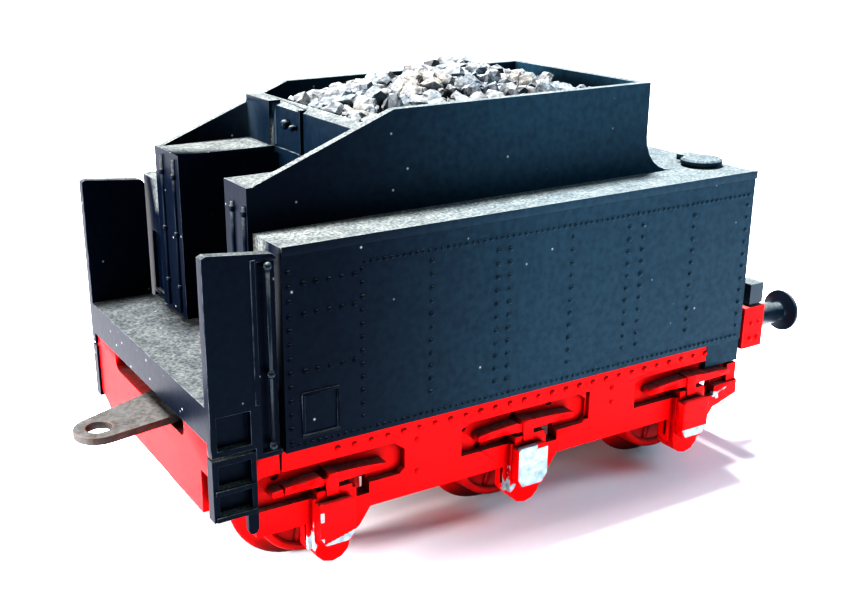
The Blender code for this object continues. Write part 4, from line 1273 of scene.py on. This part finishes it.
for name in sides:
    step = cadCopy(f"steps_{name}", "step" + name.title())
    soften(step, 0.1)
    place(step, "root", bodyBlack, "black_plastic", f"steps_{name}")
    lid = cadCopy(f"filler_lid_{name}", "fillerLid" + name.title())
    soften(lid, 0.12, 3)
    place(lid, "root", bodyBlack, "black_plastic", f"filler_lid_{name}")

grab = {"x": 5.7, "rail": 0.2, "knob": 0.42, "knobs": (1.2, 7.8, 17.3)}
for name, side in sides.items():
    def grabShape(shape):
        y = side * (tank["half"] + 0.12)
        addRod(shape, at(grab["x"], y, 0.9), at(grab["x"], y, 17.4), grab["rail"], 12)
        for z in grab["knobs"]:
            profile = [(-0.42, 0), (-0.34, 0.24), (-0.12, grab["knob"]), (0.12, grab["knob"]), (0.34, 0.24), (0.42, 0)]
            addTurned(shape, at(grab["x"], y, z), (0, 0, 1), profile, 16)
            addRod(shape, at(grab["x"], y - side * 0.7, z), at(grab["x"], y, z), 0.18, 10)
    railPiece = solid("grabRail" + name.title(), grabShape)
    railPiece.data.shade_smooth()
    place(railPiece, "root", trimBlack, "black_plastic", f"handrail_{name}")
print("footplate made")


# coal heap and its lumps

coal = {
    "x": (18.7, 50.3), "half": 9.97, "foot": 25.0, "columns": 64, "rows": 40,
    "density": 2.6e6, "gap": 0.95, "small": 0.7, "large": 1.6, "bend": 1.15, "seed": 11,
}


def heapHeight(x, y):
    # crest along the middle, down to the walls and the rear
    along = (x - coal["x"][0]) / (coal["x"][1] - coal["x"][0])
    crest = 25.9 + 3.6 * math.sin(math.pi * min(1.0, along * 0.5 / 0.66)) ** 0.9
    crest = min(crest, 25.0 + 9.0 * (1 - along) + 0.6)
    edge = max(0.0, 1 - abs(y / coal["half"]) ** 2.2)
    rough = noise.noise(Vector((x * 0.35, y * 0.35, 1.7))) * 0.7
    return coal["foot"] + (crest - coal["foot"]) * edge + rough * edge


def heapShape(shape):
    x0, x1 = coal["x"]
    half = coal["half"]
    grid = []
    for i in range(coal["columns"] + 1):
        x = x0 + (x1 - x0) * i / coal["columns"]
        row = []
        for j in range(coal["rows"] + 1):
            y = -half + 2 * half * j / coal["rows"]
            row.append(shape.verts.new(at(x, y, heapHeight(x, y) - 0.5)))
        grid.append(row)
    for i in range(coal["columns"]):
        for j in range(coal["rows"]):
            shape.faces.new((grid[i][j], grid[i + 1][j], grid[i + 1][j + 1], grid[i][j + 1]))
    rim = grid[0] + [row[-1] for row in grid[1:]] + list(reversed(grid[-1][:-1]))
    rim += [row[0] for row in reversed(grid[1:-1])]
    floor = [shape.verts.new(Vector((v.co.x, v.co.y, at(0, 0, 20).z))) for v in rim]
    for i in range(len(rim)):
        j = (i + 1) % len(rim)
        shape.faces.new((rim[i], rim[j], floor[j], floor[i]))
    shape.faces.new(floor)


coalHeap = solid("coalHeap", heapShape)
place(coalHeap, "root", coalGrey, "coal", "coal_load")


def heapTop(shape):
    x0, x1 = coal["x"]
    inset = 0.7
    half = coal["half"] - inset
    grid = []
    for i in range(33):
        x = x0 + inset + (x1 - x0 - 2 * inset) * i / 32
        grid.append([shape.verts.new(at(x, y, heapHeight(x, y) - 0.35))
                     for y in [-half + 2 * half * j / 20 for j in range(21)]])
    for i in range(32):
        for j in range(20):
            shape.faces.new((grid[i][j], grid[i + 1][j], grid[i + 1][j + 1], grid[i][j + 1]))


coalLumps = solid("coalLumps", heapTop)
lumps = coalLumps.modifiers.new("lumps", "NODES")
lumps.node_group = coalNodes
lumps[coalKeys["density"]] = coal["density"]
lumps[coalKeys["gap"]] = coal["gap"] * mm
lumps[coalKeys["small"]] = coal["small"] * mm
lumps[coalKeys["large"]] = coal["large"] * mm
lumps[coalKeys["bend"]] = coal["bend"] * mm
lumps[coalKeys["seed"]] = coal["seed"]
lumps[coalKeys["finish"]] = coalGrey
bakeModifiers(coalLumps)
place(coalLumps, "root", coalGrey, "coal")
print("coal made", len(coalLumps.data.polygons))


# underframe

frameCasting = cadCopy("chassis_frame", "frameCasting", 0.11)


def frameCuts(shape):
    for side in sides.values():
        outer = side * (frameHalf + 1.2)
        inner = side * (frameHalf - 1.8)
        for x, z, r in ((27.3, -3.5, 0.4), (33.4, -3.6, 0.4), (38.0, -3.1, 0.4), (11.3, -3.8, 0.4),
                        (6.9, -3.3, 0.45), (29.1, -5.8, 0.38)):
            addRod(shape, at(x, outer, z), at(x, inner, z), r, 14)
        addBox(shape, (42.2, 42.75), (side * (frameHalf - 0.5), outer), (-5.8, -2.7))
        addBox(shape, (7.1, 7.35), (side * (frameHalf - 0.5), outer), (-5.2, -0.2))
        for axle in axleX:
            addBox(shape, (axle + 2.9, axle + 4.3), (outer, inner), (-7.2, -5.4))
            for y in (13.1, 14.2):
                addBox(shape, (axle - 3, axle - 1.85), (side * (y - 0.18), side * (y + 0.18)), (-10.6, -6.9))
        oval = [at(61.9 + 0.9 * math.cos(a), outer, -5.2 + 0.5 * math.sin(a))
                for a in [2 * math.pi * i / 18 for i in range(18)]]
        addPrism(shape, oval, (0, -side * 3.0, 0))


carve(frameCasting, frameCuts)
soften(frameCasting, 0.09)
place(frameCasting, "root", frameRed, "red_paint", "chassis_frame")

frameRivets = {"pitch": 1.72, "radius": 0.3, "height": 0.22, "seed": 7}
frameLines = []
for side in sides.values():
    out = (0, side, 0)
    y = side * frameHalf
    frameLines.append((at(13.0, y, -1.75), at(59.0, y, -1.75), out))
    frameLines.append((at(21.6, y, -3.0), at(21.6, y, -6.3), out))
    frameLines.append((at(45.8, y, -3.0), at(45.8, y, -4.6), out))
framePins = rivetPiece("framePins", frameLines, frameRivets, frameRed)
place(framePins, "root", frameRed, "red_paint")

cover = {"x": (-1.75, 1.95), "z": (-10.5, -6.15), "y": (15.8, 16.32), "grain": 0.11}


def coverShape(shape):
    for side in sides.values():
        for axle in axleX:
            x0, x1 = axle + cover["x"][0], axle + cover["x"][1]
            z0, z1 = cover["z"]
            outline = [at(x, side * cover["y"][0], z) for x, z in
                       [(x0 + 0.3, z1), (x0, z1 - 0.3), (x0, z0 + 0.9), (x0 + 0.55, z0), (x1 - 0.7, z0),
                        (x1, z0 + 0.9), (x1, z1 - 0.3), (x1 - 0.3, z1)]]
            addPrism(shape, outline, (0, side * (cover["y"][1] - cover["y"][0]), 0))


def bareShare(point):
    # how much paint is gone at a point on the left-hand covers, 0 to 1
    x, y, z = (point - datum) / mm
    if y > 0:
        return 0.35 if z < -10.2 else 0.0
    if abs(x - axleX[1]) < 3:
        return 0.2 if z > -6.6 and x > axleX[1] + 0.6 else 0.95
    if abs(x - axleX[0]) < 3:
        low = -9.9 + 0.25 * (x - axleX[0])
        if z < low or (x < axleX[0] - 1.4 and -9.6 > z) or (x < axleX[0] - 1.35 and -7.9 < z < -6.9):
            return 0.8
        return 0.0
    return 0.85 if z < -9.5 else 0.0


axleCovers = solid("axleCovers", coverShape)
grain = axleCovers.modifiers.new("even mesh", "REMESH")
grain.mode = "VOXEL"
grain.voxel_size = cover["grain"] * mm
grain.use_smooth_shade = True
smooth = axleCovers.modifiers.new("rounded", "SMOOTH")
smooth.iterations = 3
bakeModifiers(axleCovers)
mark = axleCovers.data.attributes.new("bare", "FLOAT", "POINT")
for i, vert in enumerate(axleCovers.data.vertices):
    mark.data[i].value = bareShare(vert.co)
place(axleCovers, "root", frameRed, "red_paint")
chips = {"spots": [(10.3, -14.6, -11.2), (32.6, -14.6, -11.1), (61.5, -14.66, -7.2)], "reach": 0.9}
mark = frameCasting.data.attributes.new("bare", "FLOAT", "POINT")
for i, vert in enumerate(frameCasting.data.vertices):
    near = min((vert.co - at(*spot)).length / mm for spot in chips["spots"])
    mark.data[i].value = 0.8 if near < chips["reach"] else 0.0

beamRivets = {"pitch": 1.05, "radius": 0.28, "height": 0.2, "seed": 9}
beamLines = [(at(65.85, side * frameHalf, z), at(66.95, side * frameHalf, z), (0, side, 0))
             for side in sides.values() for z in (0.45, -1.35)]
beamPins = rivetPiece("beamPins", beamLines, beamRivets, frameRed)
place(beamPins, "root", frameRed, "red_paint")
beamEnd = cadCopy("rear_beam", "beamEnd")
soften(beamEnd, 0.12)
place(beamEnd, "root", frameRed, "red_paint", "rear_beam")
keeper = cadCopy("keeper_plate", "keeper")
soften(keeper, 0.15)
place(keeper, "root", trimBlack, "black_plastic", "keeper_plate")
print("underframe made")


# wheels and axles

wheel = {"tread": 5.75, "flange": 7.2, "back": 7.15, "width": 3.6, "spokes": 10,
         "spokeInner": 1.7, "spokeOuter": 5.0, "spokeWide": 0.5, "spokeSlim": 0.34}


def wheelShape(x, side):
    def build(shape):
        w = wheel["width"]
        tyre = [(0, 4.6), (0, 6.5), (0.12, 6.85), (0.3, 7.1), (0.45, wheel["flange"]), (0.62, 7.1), (0.8, 6.75),
                (0.95, 6.2), (1.15, 5.85), (1.4, wheel["tread"]), (w - 0.35, 5.6), (w - 0.12, 5.5), (w, 5.3),
                (w, 4.95), (w - 0.12, 4.8), (w - 0.5, 4.7), (w - 0.55, 4.5), (w - 0.55, 2.3), (w - 0.5, 2.1),
                (w - 0.15, 2.0), (w, 1.8), (w, 1.1), (w - 0.15, 1.0), (w - 0.15, 0)]
        centre = at(x, side * wheel["back"], axleZ)
        addTurned(shape, centre, (0, side, 0), [(0, 0)] + tyre, 64)
    return build


for number, x in enumerate(axleX, start=1):
    for name, side in sides.items():
        rim = solid("rim", wheelShape(x, side))
        rim.data.shade_smooth()
        rim.data.set_sharp_from_angle(angle=math.radians(38))
        hub = at(x, side * (wheel["back"] + wheel["width"] - 0.6), axleZ)
        upright = Matrix.Rotation(math.pi / 2, 4, "X")
        toHub = Matrix.Translation(hub) @ upright
        rim.data.transform(toHub.inverted())
        spokes = rim.modifiers.new("spokes", "NODES")
        spokes.node_group = spokeNodes
        spokes[spokeKeys["count"]] = wheel["spokes"]
        spokes[spokeKeys["inner"]] = wheel["spokeInner"] * mm
        spokes[spokeKeys["outer"]] = wheel["spokeOuter"] * mm
        spokes[spokeKeys["wide"]] = wheel["spokeWide"] * mm
        spokes[spokeKeys["slim"]] = wheel["spokeSlim"] * mm
        spokes[spokeKeys["finish"]] = wheelRed
        bakeModifiers(rim)
        rim.data.transform(toHub)
        rim.name = f"wheel{number}{name.title()}"
        place(rim, f"wheelset_{number}", wheelRed, "red_paint", f"wheel_{number}_{name}")

    def axleShape(shape):
        end = 10.75
        profile = [(-end, 0), (-end, 0.75), (-end + 0.2, 0.95), (-7.4, 0.95), (-7.1, 1.0), (7.1, 1.0), (7.4, 0.95),
                   (end - 0.2, 0.95), (end, 0.75), (end, 0)]
        addTurned(shape, at(x, 0, axleZ), (0, 1, 0), profile, 32)
    axlePiece = solid(f"axle{number}", axleShape)
    axlePiece.data.shade_smooth()
    axlePiece.data.set_sharp_from_angle(angle=math.radians(35))
    place(axlePiece, f"wheelset_{number}", brightSteel, "steel", f"axle_{number}")
print("wheels made")


# couplings, buffers, lamps and screws

drawLink = cadCopy("drawbar", "drawLink", whole=False)
soften(drawLink, 0.12)
place(drawLink, "drawbar", rustySteel, "dull_steel", "drawbar")
hookArm = cadCopy("coupler_arm", "hookArm")
soften(hookArm, 0.1)
place(hookArm, "coupler", trimBlack, "black_plastic", "coupler_arm")
liftLoop = cadCopy("coupler_loop", "liftLoop")
soften(liftLoop, 0.1)
place(liftLoop, "coupler_loop", rustySteel, "dull_steel", "coupler_loop")

bufferSpec = {"end": 76.4, "apart": 10.4, "height": -1.0, "collar": 2.5}
bufferX = (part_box("buffer_left")[0].x - datum.x) / mm
for name, side in sides.items():
    def bufferShape(shape):
        collar = bufferSpec["collar"]
        end = bufferSpec["end"] - bufferX
        profile = [(0, 0), (0, 0.9), (collar, 0.9), (collar, 1.7), (collar + 0.15, 1.85), (collar + 0.7, 1.85),
                   (collar + 0.85, 1.6), (collar + 1.1, 1.4), (end - 2.6, 1.3), (end - 2.3, 1.05), (end - 1.3, 1.05),
                   (end - 1.1, 1.3), (end - 1.0, 2.2), (end - 0.9, 2.42), (end - 0.72, 2.45), (end - 0.45, 2.35),
                   (end - 0.2, 1.8), (end - 0.06, 1.0), (end, 0)]
        addTurned(shape, at(bufferX, side * bufferSpec["apart"], bufferSpec["height"]), (1, 0, 0), profile, 48)
    bufferPiece = solid("buffer" + name.title(), bufferShape)
    bufferPiece.data.shade_smooth()
    bufferPiece.data.set_sharp_from_angle(angle=math.radians(50))
    place(bufferPiece, "root", trimBlack, "black_plastic", f"buffer_{name}")
    lampPiece = cadCopy(f"lamp_{name}", "lamp" + name.title())
    soften(lampPiece, 0.12)
    place(lampPiece, "root", trimBlack, "black_plastic", f"lamp_{name}")
    lensPiece = cadCopy(f"lamp_lens_{name}", "lampLens" + name.title())
    soften(lensPiece, 0.08)
    place(lensPiece, "root", lampGlass, "lens", f"lamp_lens_{name}")

for node, name in (("body_screw_front", "bodyScrewFront"), ("body_screw_rear", "bodyScrewRear"),
                   ("drawbar_screw", "drawbarScrew"), ("coupler_screw", "couplerScrew")):
    screwPiece = cadCopy(node, name)
    soften(screwPiece, 0.08)
    place(screwPiece, "root", brightSteel, "steel", node)
print("couplings made")


# floor, light and camera

def floorShape(shape):
    half = 1.6
    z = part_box("wheel_1_left")[0].z
    verts = [shape.verts.new((x, y, z)) for x, y in ((-half, -half), (half, -half), (half, half), (-half, half))]
    shape.faces.new(verts)


floor = solid("floor", floorShape)
floorWhite = bpy.data.materials.new("floorWhite")
floorWhite.use_nodes = True
floorShader = floorWhite.node_tree.nodes["Principled BSDF"]
floorShader.label = "white board"
floorShader.inputs["Base Color"].default_value = (0.86, 0.84, 0.87, 1)
floorShader.inputs["Roughness"].default_value = 0.8
floorShader.inputs["Specular IOR Level"].default_value = 0.1
floor.data.materials.append(floorWhite)

world = bpy.data.worlds.new("studio")
bpy.context.scene.world = world
world.use_nodes = True
sky = world.node_tree.nodes["Background"]
sky.label = "pale surround"
sky.inputs["Color"].default_value = (0.95, 0.97, 1.0, 1)
sky.inputs["Strength"].default_value = 0.3

lights = {
    "key": {"from": (-0.55, 0.06, 0.1), "size": 0.16, "power": 12, "colour": (1.0, 0.99, 0.97)},
    "top": {"from": (0.0, 0.1, 0.6), "size": 0.13, "power": 17, "colour": (1.0, 1.0, 1.0)},
    "sheen": {"from": (0.1, -0.09, 0.09), "size": 0.07, "power": 0.1, "colour": (0.4, 0.8, 1.0)},
}
for name, lamp in lights.items():
    data = bpy.data.lights.new(name, "AREA")
    data.shape = "SQUARE"
    data.size = lamp["size"]
    data.energy = lamp["power"]
    data.color = lamp["colour"]
    light = bpy.data.objects.new(name, data)
    light.location = lamp["from"]
    light.rotation_euler = (Vector((0, 0, 0.02)) - Vector(lamp["from"])).to_track_quat("-Z", "Y").to_euler()
    bpy.context.scene.collection.objects.link(light)

view = {"eye": (-0.06677, -0.09765, 0.06027), "yaw": 29.46, "pitch": 18.72, "roll": -0.54,
        "lens": 48.44, "shift": (0.0746, -0.0006)}
yaw, pitch, roll = (math.radians(view[key]) for key in ("yaw", "pitch", "roll"))
forward = Vector((math.sin(yaw) * math.cos(pitch), math.cos(yaw) * math.cos(pitch), -math.sin(pitch)))
right = Vector((math.cos(yaw), -math.sin(yaw), 0))
up = right.cross(forward)
rolledRight = right * math.cos(roll) + up * math.sin(roll)
rolledUp = up * math.cos(roll) - right * math.sin(roll)
lens = bpy.data.cameras.new("camera")
lens.lens = view["lens"]
lens.sensor_width = 36
lens.shift_x, lens.shift_y = view["shift"]
lens.clip_start = 0.005
lens.clip_end = 20
camera = bpy.data.objects.new("camera", lens)
turned = Matrix((rolledRight, rolledUp, -forward)).transposed().to_4x4()
camera.matrix_world = Matrix.Translation(Vector(view["eye"])) @ turned
bpy.context.scene.collection.objects.link(camera)
bpy.context.scene.camera = camera
bpy.context.scene.view_settings.view_transform = "Standard"
bpy.context.scene.view_settings.look = "High Contrast"
print("stage made")
